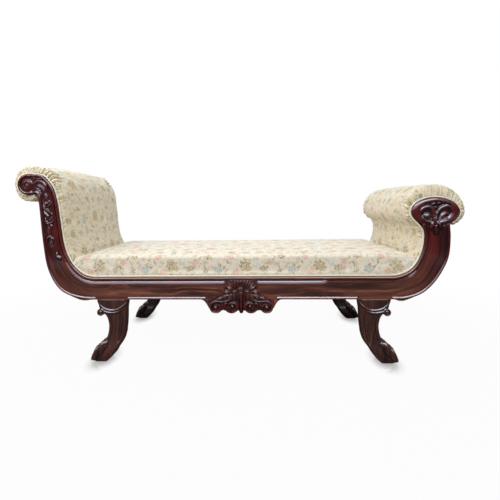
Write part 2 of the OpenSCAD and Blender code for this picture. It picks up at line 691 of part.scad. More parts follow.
module corner_blocks() {
    color(beech) both_faces() for (corner = block_corners) corner_block(corner[0], corner[1]);
}
module corner_screws() {
    color(steel) both_faces() for (corner = block_corners) block_screws(corner[0], corner[1], 0);
}
module rail_dowels() {
    color(beech) both_faces() {
        end_dowels(0);
        cross_dowels(0);
    }
}

// Webbing on the rails' tops: straps across, and straps along on top of them
strap_reach = border_y - soft_edge / 2;
web_from = head_joint_x + base_rail_w + strap_w / 2;
web_to = foot_joint_x - base_rail_w - strap_w / 2;
cross_count = floor((web_to - web_from) / strap_pitch);
long_count = floor(2 * inner_y / strap_pitch);
module cross_webbing() {
    color(jute) for (i = [0:cross_count])
        translate([web_from + i * (web_to - web_from) / cross_count - strap_w / 2, -strap_reach, rail_top])
            cube([strap_w, 2 * strap_reach, strap_t]);
}
module long_webbing() {
    color(jute) for (i = [1:long_count])
        translate([head_joint_x + strap_w / 2,
                (2 * i - 1 - long_count) * inner_y / long_count - strap_w / 2, rail_top + strap_t])
            cube([foot_joint_x - head_joint_x - strap_w, strap_w, strap_t]);
}
module foam_block(gap) {
    translate([web_from - gap, -inner_y + strap_w / 2 - gap, web_top + soft_gap - gap])
        cube([web_to - web_from + 2 * gap, 2 * inner_y - strap_w + 2 * gap, foam_t + 2 * gap]);
}
module seat_foam() { color(cream) foam_block(0); }

// Depths of the stations across a soft piece: its edges are rounded and it is fullest in the middle
edge_angles = [0, 30, 60, 90];
edge_ys = [for (a = edge_angles) border_y - soft_edge * (1 - cos(a))];
half_ys = concat(edge_ys, [border_y - 3 * soft_edge, border_y / 2]);
depths = concat([for (y = half_ys) -y], [0], backwards(half_ys));
edge_loss = concat([for (a = edge_angles) 1 - sin(a)], [0, 0]);
losses = concat(edge_loss, [0], backwards(edge_loss));
fold_shares = [1, 0.9, 0.75, 0.55, 0, 0];
folds = concat(fold_shares, [0], backwards(fold_shares));

edge_share = 0.7;    // share of a soft piece's thickness that its rounded edges lose
flat_share = 0.9;    // thickness towards the edges as a share of that in the middle
function fullness(j) = (1 - edge_share * losses[j]) * (1 - (1 - flat_share) * pow(depths[j] / border_y, 2));
function seam_step(side, t) = let (way = station(side, t)[2]) -side * soft_gap * [way[1], -way[0]];

// Seat: its underside follows the uprights and the webbing, and its top is crowned
seat_end_share = 0.6;   // the seat's thickness at its ends as a share of the padding that it meets
flat_steps = 10;
flat_margin = soft_edge / 2;
flat_from = head_joint_x + flat_margin;
flat_to = foot_joint_x - flat_margin;
head_ts = [head_seam - half_step:-half_step:joint_row];
foot_ts = [joint_row:half_step:foot_seam - half_step];
head_end = inner_edge(head_side, head_seam, soft_gap) + seam_step(head_side, head_seam);
foot_end = inner_edge(foot_side, foot_seam, soft_gap) + seam_step(foot_side, foot_seam);
seat_under = concat([head_end], [for (t = head_ts) inner_edge(head_side, t, soft_gap)],
    [for (i = [0:flat_steps]) [flat_from + i / flat_steps * (flat_to - flat_from), web_top + soft_gap]],
    [for (t = foot_ts) inner_edge(foot_side, t, soft_gap)], [foot_end]);
seat_last = len(seat_under) - 1;
function seat_over(j) =
    let (keep = 1 - edge_share * losses[j],
         from = head_end + keep * seat_end_share * head_pad * station(head_side, head_seam)[2],
         to = foot_end + keep * seat_end_share * foot_pad * station(foot_side, foot_seam)[2])
    [for (k = [0:seat_last])
        let (u = (1 - cos(180 * k / seat_last)) / 2, x = from[0] + u * (to[0] - from[0]),
         end_z = u < 0.5 ? from[1] : to[1], away = min(x - from[0], to[0] - x) / (2 * soft_edge),
         top_z = seat_z - losses[j] * soft_edge
             + seat_crown * (1 - pow(2 * u - 1, 4)) * (1 - pow(depths[j] / border_y, 2)))
        [x, end_z + (top_z - end_z) * sin(90 * min(1, away))]];
module seat_cushion() {
    color(cream) difference() {
        band([for (j = [0:len(depths) - 1]) seat_over(j)], seat_under, depths);
        foam_block(soft_gap);
    }
}

// Thickness left by the rounded edge and the gathers, and never less than a share of it
gather_share = 0.6;   // the most that the gathers take of the thickness, as a share
function gathered(thick, j, wave) =
    let (full = thick * fullness(j))
    full - min(gather_depth, gather_share * full) * folds[j] * (1 - cos(wave)) / 2;

// Head cushion: up the arm, over the scroll and round under it
head_pad_ts = [head_seam:half_step:head_last - 1];
head_angles = [head_roll_start:head_roll_step:head_roll_end];
head_pad_under = concat([for (t = head_pad_ts) inner_edge(head_side, t, soft_gap)],
    [for (a = head_angles) head_scroll + (head_scroll_r + soft_gap) * [cos(a), sin(a)]]);
function head_pad_over(j) = concat(
    [for (t = head_pad_ts) let (u = (t - head_seam) / (head_last - head_seam))
        inner_edge(head_side, t, fullness(j) * (head_pad + u * u * (head_roll_top - head_pad)))],
    [for (a = head_angles) let (edge = a < 180 ? head_roll_top : head_roll_under,
         thick = head_roll_side + (edge - head_roll_side) * pow(sin(a), 2))
        head_scroll + (head_scroll_r + gathered(thick, j, head_folds * a)) * [cos(a), sin(a)]]);
module head_cushion() {
    color(cream) band([for (j = [0:len(depths) - 1]) head_pad_over(j)], head_pad_under, depths);
}

// Foot cushion: up the arm and round the oval scroll
foot_pad_ts = [foot_seam:half_step:foot_neck];
foot_angles = [foot_roll_start:-foot_roll_step:foot_roll_end];
foot_pad_under = concat([for (t = foot_pad_ts) inner_edge(foot_side, t, soft_gap)],
    [for (a = foot_angles) foot_scroll
        + [(foot_scroll_rx + soft_gap) * cos(a), (foot_scroll_rz + soft_gap) * sin(a)]]);
function foot_pad_over(j) = concat(
    [for (t = foot_pad_ts) inner_edge(foot_side, t, fullness(j) * foot_pad)],
    [for (a = foot_angles) let (wave = foot_folds * a,
         side = gathered(cos(a) < 0 ? foot_roll_inner : foot_roll_side, j, wave),
         top = gathered(sin(a) > 0 ? foot_roll_top : foot_roll_under, j, wave))
        foot_scroll + [(foot_scroll_rx + side) * cos(a), (foot_scroll_rz + top) * sin(a)]]);
module foot_cushion() {
    color(cream) band([for (j = [0:len(depths) - 1]) foot_pad_over(j)], foot_pad_under, depths);
}

// Outside covers: down the backs of the arms and round the uprights' lower corners
cover_first = 1.5;
head_cover_last = head_last - 2.5;
foot_cover_last = foot_neck - half_step;
belly_last = 5;
function belly(t) = let (u = min(1, (t - cover_first) / (belly_last - cover_first)))
    cover_belly * pow(sin(180 * u), 2);
module outside_cover(side, last) {
    ts = [cover_first:half_step:last];
    color(cream) slab(-border_y, border_y) polygon(concat(
        [for (t = ts) outer_edge(side, t, soft_gap)],
        backwards([for (t = ts) outer_edge(side, t, soft_gap + cover_t + belly(t))])));
}
module head_outside_cover() { outside_cover(head_side, head_cover_last); }
module foot_outside_cover() { outside_cover(foot_side, foot_cover_last); }

// Piping where the upholstery meets the frame, from scroll to scroll
piping_sides = 6;
piping_lift = soft_gap + piping_d / 2;
piping_places = concat([for (t = [head_last - 1:-half_step:joint_row]) [head_side, t]],
    [for (t = [joint_row:half_step:foot_neck]) [foot_side, t]]);
module piping() {
    skin([for (p = piping_places)
        let (mid = inner_edge(p[0], p[1], piping_lift), way = station(p[0], p[1])[2])
        [for (i = [0:piping_sides - 1]) let (a = 360 * i / piping_sides, lift = cos(a) * piping_d / 2)
            [mid[0] + lift * way[0], sin(a) * piping_d / 2 - border_y - piping_lift,
             mid[1] + lift * way[1]]]]);
}
module front_piping() { color(cream) piping(); }
module back_piping() { color(cream) at_back() piping(); }

// Dust cover tacked under the rails, cut out round the legs
dust_half_w = inner_y + rail_t / 8;
module dust_cover() {
    color(cambric) difference() {
        translate([head_leg_x, -dust_half_w, leg_h - dust_cover_t])
            cube([foot_leg_x - head_leg_x, 2 * dust_half_w, dust_cover_t]);
        both_faces() for (x = [head_leg_x, foot_leg_x])
            translate([x - leg_top_w / 2 - overrun, -crest_y, leg_h - 2 * dust_cover_t])
                cube([leg_top_w + 2 * overrun, crest_y - leg_y + leg_t / 2 + overrun, 3 * dust_cover_t]);
    }
}

front_rail();
back_rail();
head_front_upright();
head_back_upright();
foot_front_upright();
foot_back_upright();
front_apron();
back_apron();
front_apron_carving();
back_apron_carving();
head_front_leg();
head_back_leg();
foot_front_leg();
foot_back_leg();
head_base_rail();
foot_base_rail();
head_seat_brace();
foot_seat_brace();
head_corner_stretcher();
foot_corner_stretcher();
head_neck_stretcher();
foot_neck_stretcher();
head_roll_core();
foot_roll_core();
head_arm_panel();
foot_arm_panel();
corner_blocks();
corner_screws();
rail_dowels();
cross_webbing();
long_webbing();
seat_foam();
seat_cushion();
head_cushion();
foot_cushion();
head_outside_cover();
foot_outside_cover();
front_piping();
back_piping();
dust_cover();
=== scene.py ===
"""Visual model of a recamier: a carved rosewood frame with fixed floral upholstery on a pale studio floor."""

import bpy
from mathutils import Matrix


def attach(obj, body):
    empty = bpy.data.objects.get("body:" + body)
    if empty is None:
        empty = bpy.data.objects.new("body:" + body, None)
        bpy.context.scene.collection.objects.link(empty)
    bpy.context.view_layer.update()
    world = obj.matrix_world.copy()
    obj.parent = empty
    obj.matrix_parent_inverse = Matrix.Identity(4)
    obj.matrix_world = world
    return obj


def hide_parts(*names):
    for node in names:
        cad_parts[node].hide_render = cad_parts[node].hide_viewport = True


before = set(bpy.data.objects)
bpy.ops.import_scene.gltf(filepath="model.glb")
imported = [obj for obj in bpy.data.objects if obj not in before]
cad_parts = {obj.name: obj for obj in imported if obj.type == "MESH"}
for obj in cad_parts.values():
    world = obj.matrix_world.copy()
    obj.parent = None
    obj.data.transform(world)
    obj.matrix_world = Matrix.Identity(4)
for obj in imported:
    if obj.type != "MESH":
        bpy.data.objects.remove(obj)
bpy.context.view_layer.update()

import logging
import math
from dataclasses import dataclass, replace
from enum import Enum

import bpy
import numpy as np
from mathutils import Matrix, Vector

logging.basicConfig(level=logging.INFO, format="%(message)s")
log = logging.getLogger("recamier")

Points = np.ndarray
Piece = bpy.types.Object
Socket = bpy.types.NodeSocket
Tree = bpy.types.NodeTree
Place = tuple[float, float]
Span = tuple[float, float]
Way = tuple[float, float, float]
Row = tuple[float, float, float, float]


class End(Enum):
    """The two ends of the couch, with the way that each points along X."""

    HEAD = -1
    FOOT = 1


class Face(Enum):
    """The two long faces of the couch, with the way that each looks along Y."""

    FRONT = -1
    BACK = 1


@dataclass(frozen=True)
class FrameSizes:
    """Sizes in metres that the sub-assemblies share."""

    field_y: float = 0.296
    inner_y: float = 0.248
    border_y: float = 0.288
    rail_bottom: float = 0.252
    rail_h: float = 0.092
    head_leg_x: float = -0.512
    foot_leg_x: float = 0.565
    head_joint_x: float = -0.587
    foot_joint_x: float = 0.64
    apron_x: float = 0.0265
    seat_z: float = 0.43
    relief: float = 0.0045
    inner_bead: float = 0.012
    groove: float = 0.005
    bevel_w: float = 0.0125
    bevel_depth: float = 0.004
    outer_bead: float = 0.013

    @property
    def rail_top(self) -> float:
        """Height of the rails' upper side."""
        return self.rail_bottom + self.rail_h

    @property
    def rail_mid(self) -> float:
        """Height of the rails' middle."""
        return self.rail_bottom + self.rail_h / 2


SIZES = FrameSizes()


def smooth_rows(rows: Points, ts: Points) -> Points:
    """Reads a table along a smooth curve through its rows.

    Args:
        rows: Table with one row for each whole number from 0.
        ts: Places to read, in rows.

    Returns:
        One row of values for each place.
    """
    last = len(rows) - 1
    led = np.vstack([2 * rows[0] - rows[1], rows, 2 * rows[last] - rows[last - 1]])
    i = np.clip(np.floor(ts).astype(int), 0, last - 1)
    u = (ts - i)[:, None]
    a, b, c, d = led[i], led[i + 1], led[i + 2], led[i + 3]
    return b + u / 2 * (c - a + u * (2 * a - 5 * b + 4 * c - d + u * (3 * (b - c) + d - a)))


def path_lengths(points: Points) -> Points:
    """Distance of each point of a polyline from its start, along it."""
    return np.concatenate([[0], np.cumsum(np.linalg.norm(np.diff(points, axis=0), axis=1))])


def read_along(points: Points, along: Points, wanted: Points) -> Points:
    """Points of a polyline at wanted distances, when its corners lie at the distances given."""
    return np.column_stack([np.interp(wanted, along, column) for column in points.T])


def evenly(points: Points, count: int) -> Points:
    """That many points spread evenly along a polyline, its ends among them."""
    along = path_lengths(points)
    return read_along(points, along, np.linspace(0, along[-1], count))


def curve_through(course: tuple[Place, ...], count: int) -> Points:
    """Evenly spread points on a smooth curve through a few places."""
    rows = np.array(course, float)
    return evenly(smooth_rows(rows, np.linspace(0, len(rows) - 1, 12 * len(rows))), count)


def circle(turn: Points) -> Points:
    """Unit vectors at angles in radians, one a row."""
    return np.stack([np.cos(turn), np.sin(turn)], axis=1)


def softened(rows: Points, rounds: int) -> Points:
    """Rows each moved towards their neighbours, the first and last kept.

    Args:
        rows: One point a row, or one number.
        rounds: How often they are moved.

    Returns:
        The rows in their new places.
    """
    rows = rows.copy()
    for _ in range(rounds):
        rows[1:-1] = (rows[:-2] + 2 * rows[1:-1] + rows[2:]) / 4
    return rows


def smoothstep(low: float, high: float, values: Points) -> Points:
    """Soft step from 0 at low to 1 at high."""
    u = np.clip((values - low) / (high - low), 0, 1)
    return u * u * (3 - 2 * u)


@dataclass(frozen=True)
class ArmCourse:
    """Course of the scroll uprights at one end, in rows of run, rise, half width and slope."""

    end: End
    rows: tuple[Row, ...]
    joint_x: float
    scroll: Place

    def stations(self, ts: Points) -> tuple[Points, Points, Points]:
        """Reads the course.

        Args:
            ts: Places on the course, in rows.

        Returns:
            Middle points in X and Z, half widths, and directions across, towards the sitter.
        """
        row = smooth_rows(np.array(self.rows), ts)
        middle = np.column_stack([self.joint_x + row[:, 0] * (self.scroll[0] - self.joint_x),
                                  SIZES.rail_mid + row[:, 1] * (self.scroll[1] - SIZES.rail_mid)])
        slope = np.radians(row[:, 3])
        across = np.column_stack([-self.end.value * np.cos(slope), np.sin(slope)])
        return middle, row[:, 2] * SIZES.rail_h / 2, across

    def inner_edge(self, ts: Points, lift: float | Points = 0.0) -> Points:
        """Points above the upholstered edge."""
        middle, half, across = self.stations(ts)
        return middle + (half + lift)[:, None] * across

    def even_places(self, first: float, last: float, step: float) -> Points:
        """Places that lie a step apart on the middle line, in metres."""
        dense = np.linspace(first, last, 600)
        along = path_lengths(self.stations(dense)[0])
        return np.interp(np.linspace(0, along[-1], max(2, round(along[-1] / step))), along, dense)


HEAD_COURSE = ArmCourse(End.HEAD, (
    (-0.15, 0, 1, 90), (0, 0, 1, 90), (0.182, 0.017, 1.07, 75), (0.353, 0.07, 1.21, 61),
    (0.471, 0.151, 1.24, 54), (0.567, 0.281, 1.15, 43), (0.621, 0.461, 0.98, 26), (0.656, 0.65, 0.9, 10),
    (0.685, 0.807, 0.86, 5), (0.719, 0.909, 0.82, 12), (0.773, 0.968, 0.8, 38), (0.862, 1.003, 0.91, 70),
    (0.97, 1, 0.8, 90)), SIZES.head_joint_x, (-0.865, 0.736))
FOOT_COURSE = ArmCourse(End.FOOT, (
    (-0.2, 0, 1, 90), (0, 0, 1, 90), (0.234, 0.015, 1.07, 82), (0.503, 0.071, 1.11, 66),
    (0.713, 0.172, 1.12, 54), (0.883, 0.318, 1.15, 42), (1.003, 0.488, 1.18, 29), (1.039, 0.678, 1.13, 13),
    (1.018, 0.802, 1.15, 0), (1.0, 0.967, 1.15, 0)), SIZES.foot_joint_x, (0.807, 0.601))


HEAD_SCROLL = (0.043, 0.043)
FOOT_SCROLL = (0.095, 0.057)


# Mesh work


def pick(*pieces: Piece) -> None:
    """Selects these pieces alone and makes the first one active."""
    bpy.ops.object.select_all(action="DESELECT")
    for piece in pieces:
        piece.select_set(True)
    bpy.context.view_layer.objects.active = pieces[0]


def choose_faces(piece: Piece, chosen: list[bool]) -> None:
    """Selects these faces of a piece alone, for edit mode.

    Args:
        piece: The piece, left in edit mode.
        chosen: Whether each of its faces is selected.
    """
    pick(piece)
    bpy.ops.object.mode_set(mode="EDIT")
    bpy.context.tool_settings.mesh_select_mode = (False, False, True)
    bpy.ops.mesh.select_all(action="DESELECT")
    bpy.ops.object.mode_set(mode="OBJECT")
    piece.data.polygons.foreach_set("select", chosen)
    bpy.ops.object.mode_set(mode="EDIT")


def put_points(piece: Piece, points: Points) -> None:
    """Gives a mesh's vertices their places."""
    piece.data.vertices.foreach_set("co", np.ascontiguousarray(points, np.float32).ravel())
    piece.data.update()


def get_points(piece: Piece) -> Points:
    """Places of a mesh's vertices, one a row."""
    flat = np.empty(len(piece.data.vertices) * 3, np.float32)
    piece.data.vertices.foreach_get("co", flat)
    return flat.reshape(-1, 3).astype(float)


def vertex_normals(piece: Piece) -> Points:
    """Normals of a mesh's vertices, one a row."""
    flat = np.empty(len(piece.data.vertices) * 3, np.float32)
    piece.data.vertex_normals.foreach_get("vector", flat)
    return flat.reshape(-1, 3).astype(float)


def store(piece: Piece, name: str, values: Points) -> None:
    """Stores a number for each vertex of a piece."""
    attribute = piece.data.attributes.new(name, "FLOAT", "POINT")
    attribute.data.foreach_set("value", np.ascontiguousarray(values.ravel(), np.float32))


def take_back(piece: Piece, name: str) -> Points:
    """Reads the numbers stored under a name and removes them from the piece.

    Args:
        piece: The piece that carries them.
        name: Name of the attribute.

    Returns:
        One number for each vertex.
    """
    attribute = piece.data.attributes[name]
    values = np.empty(len(piece.data.vertices), np.float32)
    attribute.data.foreach_get("value", values)
    piece.data.attributes.remove(attribute)
    return values.astype(float)


def finish_modifier(piece: Piece, kind: str, **settings: object) -> None:
    """Adds a modifier and applies it at once.

    Args:
        piece: The piece to change.
        kind: Type of the modifier.
        **settings: Values for its properties.
    """
    pick(piece)
    modifier = piece.modifiers.new(kind.title(), kind)
    for name, value in settings.items():
        setattr(modifier, name, value)
    bpy.ops.object.modifier_apply(modifier=modifier.name)


def volume(piece: Piece) -> float:
    """Volume inside a closed piece.

    Args:
        piece: The piece.

    Returns:
        Cubic metres, negative if its faces look inwards.
    """
    mesh = piece.data
    mesh.calc_loop_triangles()
    corners = np.empty(len(mesh.loop_triangles) * 3, np.int32)
    mesh.loop_triangles.foreach_get("vertices", corners)
    a, b, c = get_points(piece)[corners.reshape(-1, 3)].transpose(1, 0, 2)
    return float(np.einsum("ij,ij->", a, np.cross(b, c)) / 6)


def turn_outwards(piece: Piece, distance: float = 1e-5, close: bool = True) -> None:
    """Merges doubles, closes open ends and turns all faces outwards.

    Args:
        piece: The piece to clean.
        distance: Distance in metres below which vertices are merged.
        close: Whether open ends are filled.
    """
    pick(piece)
    bpy.ops.object.mode_set(mode="EDIT")
    bpy.context.tool_settings.mesh_select_mode = (True, False, False)
    bpy.ops.mesh.select_all(action="SELECT")
    bpy.ops.mesh.remove_doubles(threshold=distance)
    if close:
        bpy.ops.mesh.select_all(action="DESELECT")
        bpy.ops.mesh.select_non_manifold(extend=False, use_wire=False, use_multi_face=False,
                                         use_non_contiguous=False, use_verts=False)
        bpy.ops.mesh.fill_holes(sides=0)
        bpy.ops.mesh.select_all(action="SELECT")
    bpy.ops.mesh.normals_make_consistent(inside=False)
    bpy.ops.object.mode_set(mode="OBJECT")
    if volume(piece) < 0:
        piece.data.flip_normals()


def shade(piece: Piece, angle: float = 38.0) -> None:
    """Shades a piece smooth, with edges kept sharp above an angle in degrees."""
    pick(piece)
    bpy.ops.object.shade_smooth()
    bpy.ops.object.shade_smooth_by_angle(angle=math.radians(angle), keep_sharp_edges=False)


def lay_grid(name: str, points: Points, uvs: Points | None = None) -> Piece:
    """Adds a grid primitive and bends it to its shape.

    Args:
        name: Name of the piece.
        points: Places of the grid's vertices, as rows, columns and coordinates.
        uvs: Places on the cloth in metres, as rows, columns and two coordinates.

    Returns:
        The new piece, open at its borders.
    """
    rows, columns = points.shape[:2]
    bpy.ops.object.select_all(action="DESELECT")
    bpy.ops.mesh.primitive_grid_add(x_subdivisions=columns - 1, y_subdivisions=rows - 1, size=1,
                                    calc_uvs=True)
    piece = bpy.context.object
    piece.name = piece.data.name = name
    put_points(piece, points.reshape(-1, 3))
    if uvs is not None:
        corners = np.empty(len(piece.data.loops), np.int32)
        piece.data.loops.foreach_get("vertex_index", corners)
        piece.data.uv_layers[0].data.foreach_set(
            "uv", np.ascontiguousarray(uvs.reshape(-1, 2)[corners], np.float32).ravel())
    return piece


def loft(name: str, rings: Points, uvs: Points | None = None) -> Piece:
    """Closed solid through rings of points, whose first and last point of each ring meet.

    Args:
        name: Name of the piece.
        rings: Rings, points of each and coordinates.
        uvs: Places on the cloth in metres, for pieces of cloth.

    Returns:
        The new solid with its ends capped.
    """
    piece = lay_grid(name, rings, uvs)
    turn_outwards(piece)
    return piece


def join(pieces: list[Piece], name: str) -> Piece:
    """Joins several pieces into one.

    Args:
        pieces: The pieces.
        name: The name of the whole.

    Returns:
        The whole.
    """
    pick(*pieces)
    bpy.ops.object.join()
    piece = bpy.context.object
    piece.name = piece.data.name = name
    return piece


def own_copy(piece: Piece, name: str, scale: Way = (1, -1, 1), move: Way = (0, 0, 0)) -> Piece:
    """Copy of a piece with its own mesh, mirrored across the couch's middle planes and then moved.

    Args:
        piece: The piece to copy.
        name: Name of the copy.
        scale: 1 or -1 for each axis; -1 mirrors along it.
        move: Distances that the copy is moved afterwards.

    Returns:
        The copy, with its faces outwards.
    """
    pick(piece)
    bpy.ops.object.duplicate(linked=False)
    copy = bpy.context.object
    copy.name = copy.data.name = name
    put_points(copy, get_points(copy) * scale + move)
    if math.prod(scale) < 0:
        bpy.ops.object.mode_set(mode="EDIT")
        bpy.ops.mesh.select_all(action="SELECT")
        bpy.ops.mesh.flip_normals()
        bpy.ops.object.mode_set(mode="OBJECT")
    return copy


def mark_crests(piece: Piece, reach: float = 0.004, joints: tuple[float, ...] = ()) -> None:
    """Stores how far each place stands out from its surroundings, for the polish on crests and in hollows,
    with a painted highlight on crests and painted shade in hollows.

    Args:
        piece: The piece to mark; it gets a "crest" attribute with 0.5 on even ground.
        reach: Height in metres over a few neighbours that counts as fully out.
        joints: X of the joints with other pieces, whose edges aren't worn and get no painted highlight or
            shade.
    """
    points = get_points(piece)
    edges = np.empty(len(piece.data.edges) * 2, np.int32)
    piece.data.edges.foreach_get("vertices", edges)
    a, b = edges.reshape(-1, 2).T
    count = np.maximum(np.bincount(a, minlength=len(points)) + np.bincount(b, minlength=len(points)), 1)

    def around(values: Points) -> Points:
        """Mean of each vertex's neighbours."""
        summed = np.bincount(a, values[b], len(points)) + np.bincount(b, values[a], len(points))
        return summed / count

    flat = points.copy()
    for _ in range(10):
        flat = np.column_stack([(flat[:, k] + around(flat[:, k])) / 2 for k in range(3)])
    out = np.einsum("ij,ij->i", points - flat, vertex_normals(piece)) / reach * 6
    for _ in range(2):
        out = (out + around(out)) / 2
    for joint in joints:
        out *= smoothstep(0.002, 0.012, np.abs(points[:, 0] - joint))
    store(piece, "crest", np.clip(0.5 + out, 0, 1))


def stand_for(piece: Piece, slot: str, *nodes: str) -> None:
    """Lets a piece ride on the couch and take the place of solids, and reports it.

    Args:
        piece: The finished piece.
        slot: Its slot; not used.
        *nodes: Solids that it replaces.
    """
    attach(piece, "root")
    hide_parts(*nodes)
    log.info("%s: %d faces, for %s", piece.name, len(piece.data.polygons), ", ".join(nodes))


def on_both_faces(front: Piece, slot: str, solid: str) -> None:
    """Mirrors a dressed front piece to the back and lets the two stand for their solids.

    Args:
        front: The front piece, with front in its name.
        slot: Slot of both; not used.
        solid: Name of the solids with a gap for front or back.
    """
    back = own_copy(front, front.name.replace("front", "back"))
    for piece, face in ((front, "front"), (back, "back")):
        stand_for(piece, slot, solid.format(face))


# Finishes

Colour = tuple[float, float, float]


class Grain(Enum):
    """What a wood's grain runs along."""

    PIECE = "piece"
    X = "x"
    Y = "y"
    Z = "z"


class Nodes:
    """Adds and links the nodes of one tree."""

    def __init__(self, tree: Tree) -> None:
        """Takes the tree to work on."""
        self.tree = tree

    def add(self, kind: str, inputs: dict | None = None, **settings: object) -> bpy.types.Node:
        """Adds a node.

        Args:
            kind: Its type, without the ShaderNode in front.
            inputs: Values or sockets for its inputs, by name or number.
            **settings: Values for its properties.

        Returns:
            The node.
        """
        node = self.tree.nodes.new(kind if kind.startswith("Node") else "ShaderNode" + kind)
        for name, value in settings.items():
            setattr(node, name, value)
        self.feed(node, inputs or {})
        return node

    def feed(self, node: bpy.types.Node, inputs: dict) -> None:
        """Sets a node's inputs to values or links them to sockets.

        Args:
            node: The node.
            inputs: A value or socket for each input's name or number.
        """
        for name, value in inputs.items():
            if isinstance(value, Socket):
                self.tree.links.new(value, node.inputs[name])
            else:
                node.inputs[name].default_value = value

    def group(self, tree: Tree, inputs: dict) -> bpy.types.bpy_prop_collection:
        """Adds a node group and returns its outputs."""
        return self.add("Group", inputs, node_tree=tree).outputs

    def math(self, operation: str, a: object, b: object = 0.0, c: object = 0.0) -> Socket:
        """One step of arithmetic on numbers or sockets."""
        return self.add("Math", {0: a, 1: b, 2: c}, operation=operation).outputs[0]

    def times(self, *factors: object) -> Socket:
        """Product of several factors.

        Args:
            *factors: Numbers or sockets.

        Returns:
            The product's socket.
        """
        product = factors[0]
        for factor in factors[1:]:
            product = self.math("MULTIPLY", product, factor)
        return product

    def vector(self, operation: str, a: object, b: object = (0, 0, 0)) -> Socket:
        """One step of arithmetic on vectors."""
        return self.add("VectorMath", {0: a, 1: b}, operation=operation).outputs[0]

    def length(self, vector: object) -> Socket:
        """Length of a vector."""
        return self.add("VectorMath", {0: vector}, operation="LENGTH").outputs["Value"]

    def parts(self, vector: object) -> bpy.types.bpy_prop_collection:
        """The three coordinates of a vector."""
        return self.add("SeparateXYZ", {0: vector}).outputs

    def blend(self, factor: object, a: object, b: object, how: str = "MIX") -> Socket:
        """Mixes two colours."""
        a, b = (value if isinstance(value, Socket) else (*value, 1) for value in (a, b))
        return self.add("Mix", {0: factor, 6: a, 7: b}, data_type="RGBA", blend_type=how).outputs[2]

    def step(self, value: object, low: float, high: float, start: float = 0.0,
             stop: float = 1.0) -> Socket:
        """Soft step of a value from start at low to stop at high."""
        return self.add("MapRange", {0: value, 1: low, 2: high, 3: start, 4: stop},
                        interpolation_type="SMOOTHSTEP").outputs[0]

    def noise(self, vector: object, scale: float, detail: float = 2.0,
              roughness: float = 0.5) -> Socket:
        """Noise between 0 and 1."""
        return self.add("TexNoise", {"Vector": vector, "Scale": scale, "Detail": detail,
                                     "Roughness": roughness}).outputs["Fac"]

    def mix(self, share: object, one: object, other: object) -> Socket:
        """Mixes two shaders."""
        return self.add("MixShader", {0: share, 1: one, 2: other}).outputs[0]

    def end_in(self, kind: str, surface: Socket) -> None:
        """Links a shader to the tree's output."""
        self.feed(next(node for node in self.tree.nodes if node.type == kind), {0: surface})

    def pair(self, x: object, y: object) -> Socket:
        """Vector of two numbers or sockets."""
        return self.add("CombineXYZ", {0: x, 1: y}).outputs[0]


def new_group(name: str, inputs: dict[str, str], outputs: dict[str, str]
              ) -> tuple[Nodes, bpy.types.bpy_prop_collection, bpy.types.Node]:
    """Starts a node group.

    Args:
        name: Name of the group.
        inputs: Kind of socket for each input's name.
        outputs: Kind of socket for each output's name.

    Returns:
        Its nodes, the sockets that bring the inputs, and the node that takes the outputs.
    """
    tree = bpy.data.node_groups.new(name, "ShaderNodeTree")
    for way, sockets in (("INPUT", inputs), ("OUTPUT", outputs)):
        for title, kind in sockets.items():
            tree.interface.new_socket(title, in_out=way, socket_type="NodeSocket" + kind)
    nodes = Nodes(tree)
    return nodes, nodes.add("NodeGroupInput").outputs, nodes.add("NodeGroupOutput")


def build_grain_group() -> Tree:
    """Wood grain: dark streaks and pores along the first coordinate, between three colours.

    Returns:
        The group's tree.
    """
    nodes, given, wanted = new_group(
        "Wood grain", {"Vector": "Vector", "Dark": "Color", "Middle": "Color", "Light": "Color"},
        {"Color": "Color", "Roughness": "Float", "Height": "Float"})
    drift = nodes.noise(given["Vector"], 5.0, 1.0)
    aside = nodes.math("MULTIPLY_ADD", drift, 0.05, -0.025)
    bent = nodes.vector("ADD", given["Vector"], nodes.add("CombineXYZ", {1: aside, 2: aside}).outputs[0])
    broad = nodes.noise(nodes.vector("MULTIPLY", bent, (2.4, 34, 34)), 1.0, 4.0, 0.6)
    streak = nodes.noise(nodes.vector("MULTIPLY", bent, (1.5, 85, 85)), 1.0, 3.0, 0.55)
    pore = nodes.noise(nodes.vector("MULTIPLY", bent, (45, 900, 900)), 1.0, 1.0)
    colour = nodes.blend(nodes.step(broad, 0.36, 0.66), given["Dark"], given["Middle"])
    colour = nodes.blend(nodes.step(streak, 0.52, 0.74), colour, given["Light"])
    colour = nodes.blend(nodes.step(streak, 0.47, 0.3, 0.0, 0.7), colour, given["Dark"])
    colour = nodes.blend(nodes.step(pore, 0.62, 0.75, 0.0, 0.5), colour, given["Dark"])
    nodes.feed(wanted, {"Color": colour, "Roughness": nodes.step(broad, 0.3, 0.7, 0.3, 0.42),
                        "Height": nodes.step(pore, 0.75, 0.6)})
    return nodes.tree


def build_crest_group() -> Tree:
    """Polish that gathers dark in a carving's hollows and is worn lighter on its crests, with painted shade
    in the hollows and a painted highlight on the crests.

    Returns:
        The group's tree.
    """
    nodes, given, wanted = new_group("Polish and painted shade", {"Color": "Color", "Hollow": "Color", "Crest": "Color"},
                                     {"Color": "Color"})
    out = nodes.add("Attribute", attribute_name="crest").outputs["Fac"]
    colour = nodes.blend(nodes.step(out, 0.46, 0.22, 0.0, 0.92), given["Color"], given["Hollow"])
    nodes.feed(wanted, {"Color": nodes.blend(nodes.step(out, 0.56, 0.85, 0.0, 0.6), colour, given["Crest"])})
    return nodes.tree


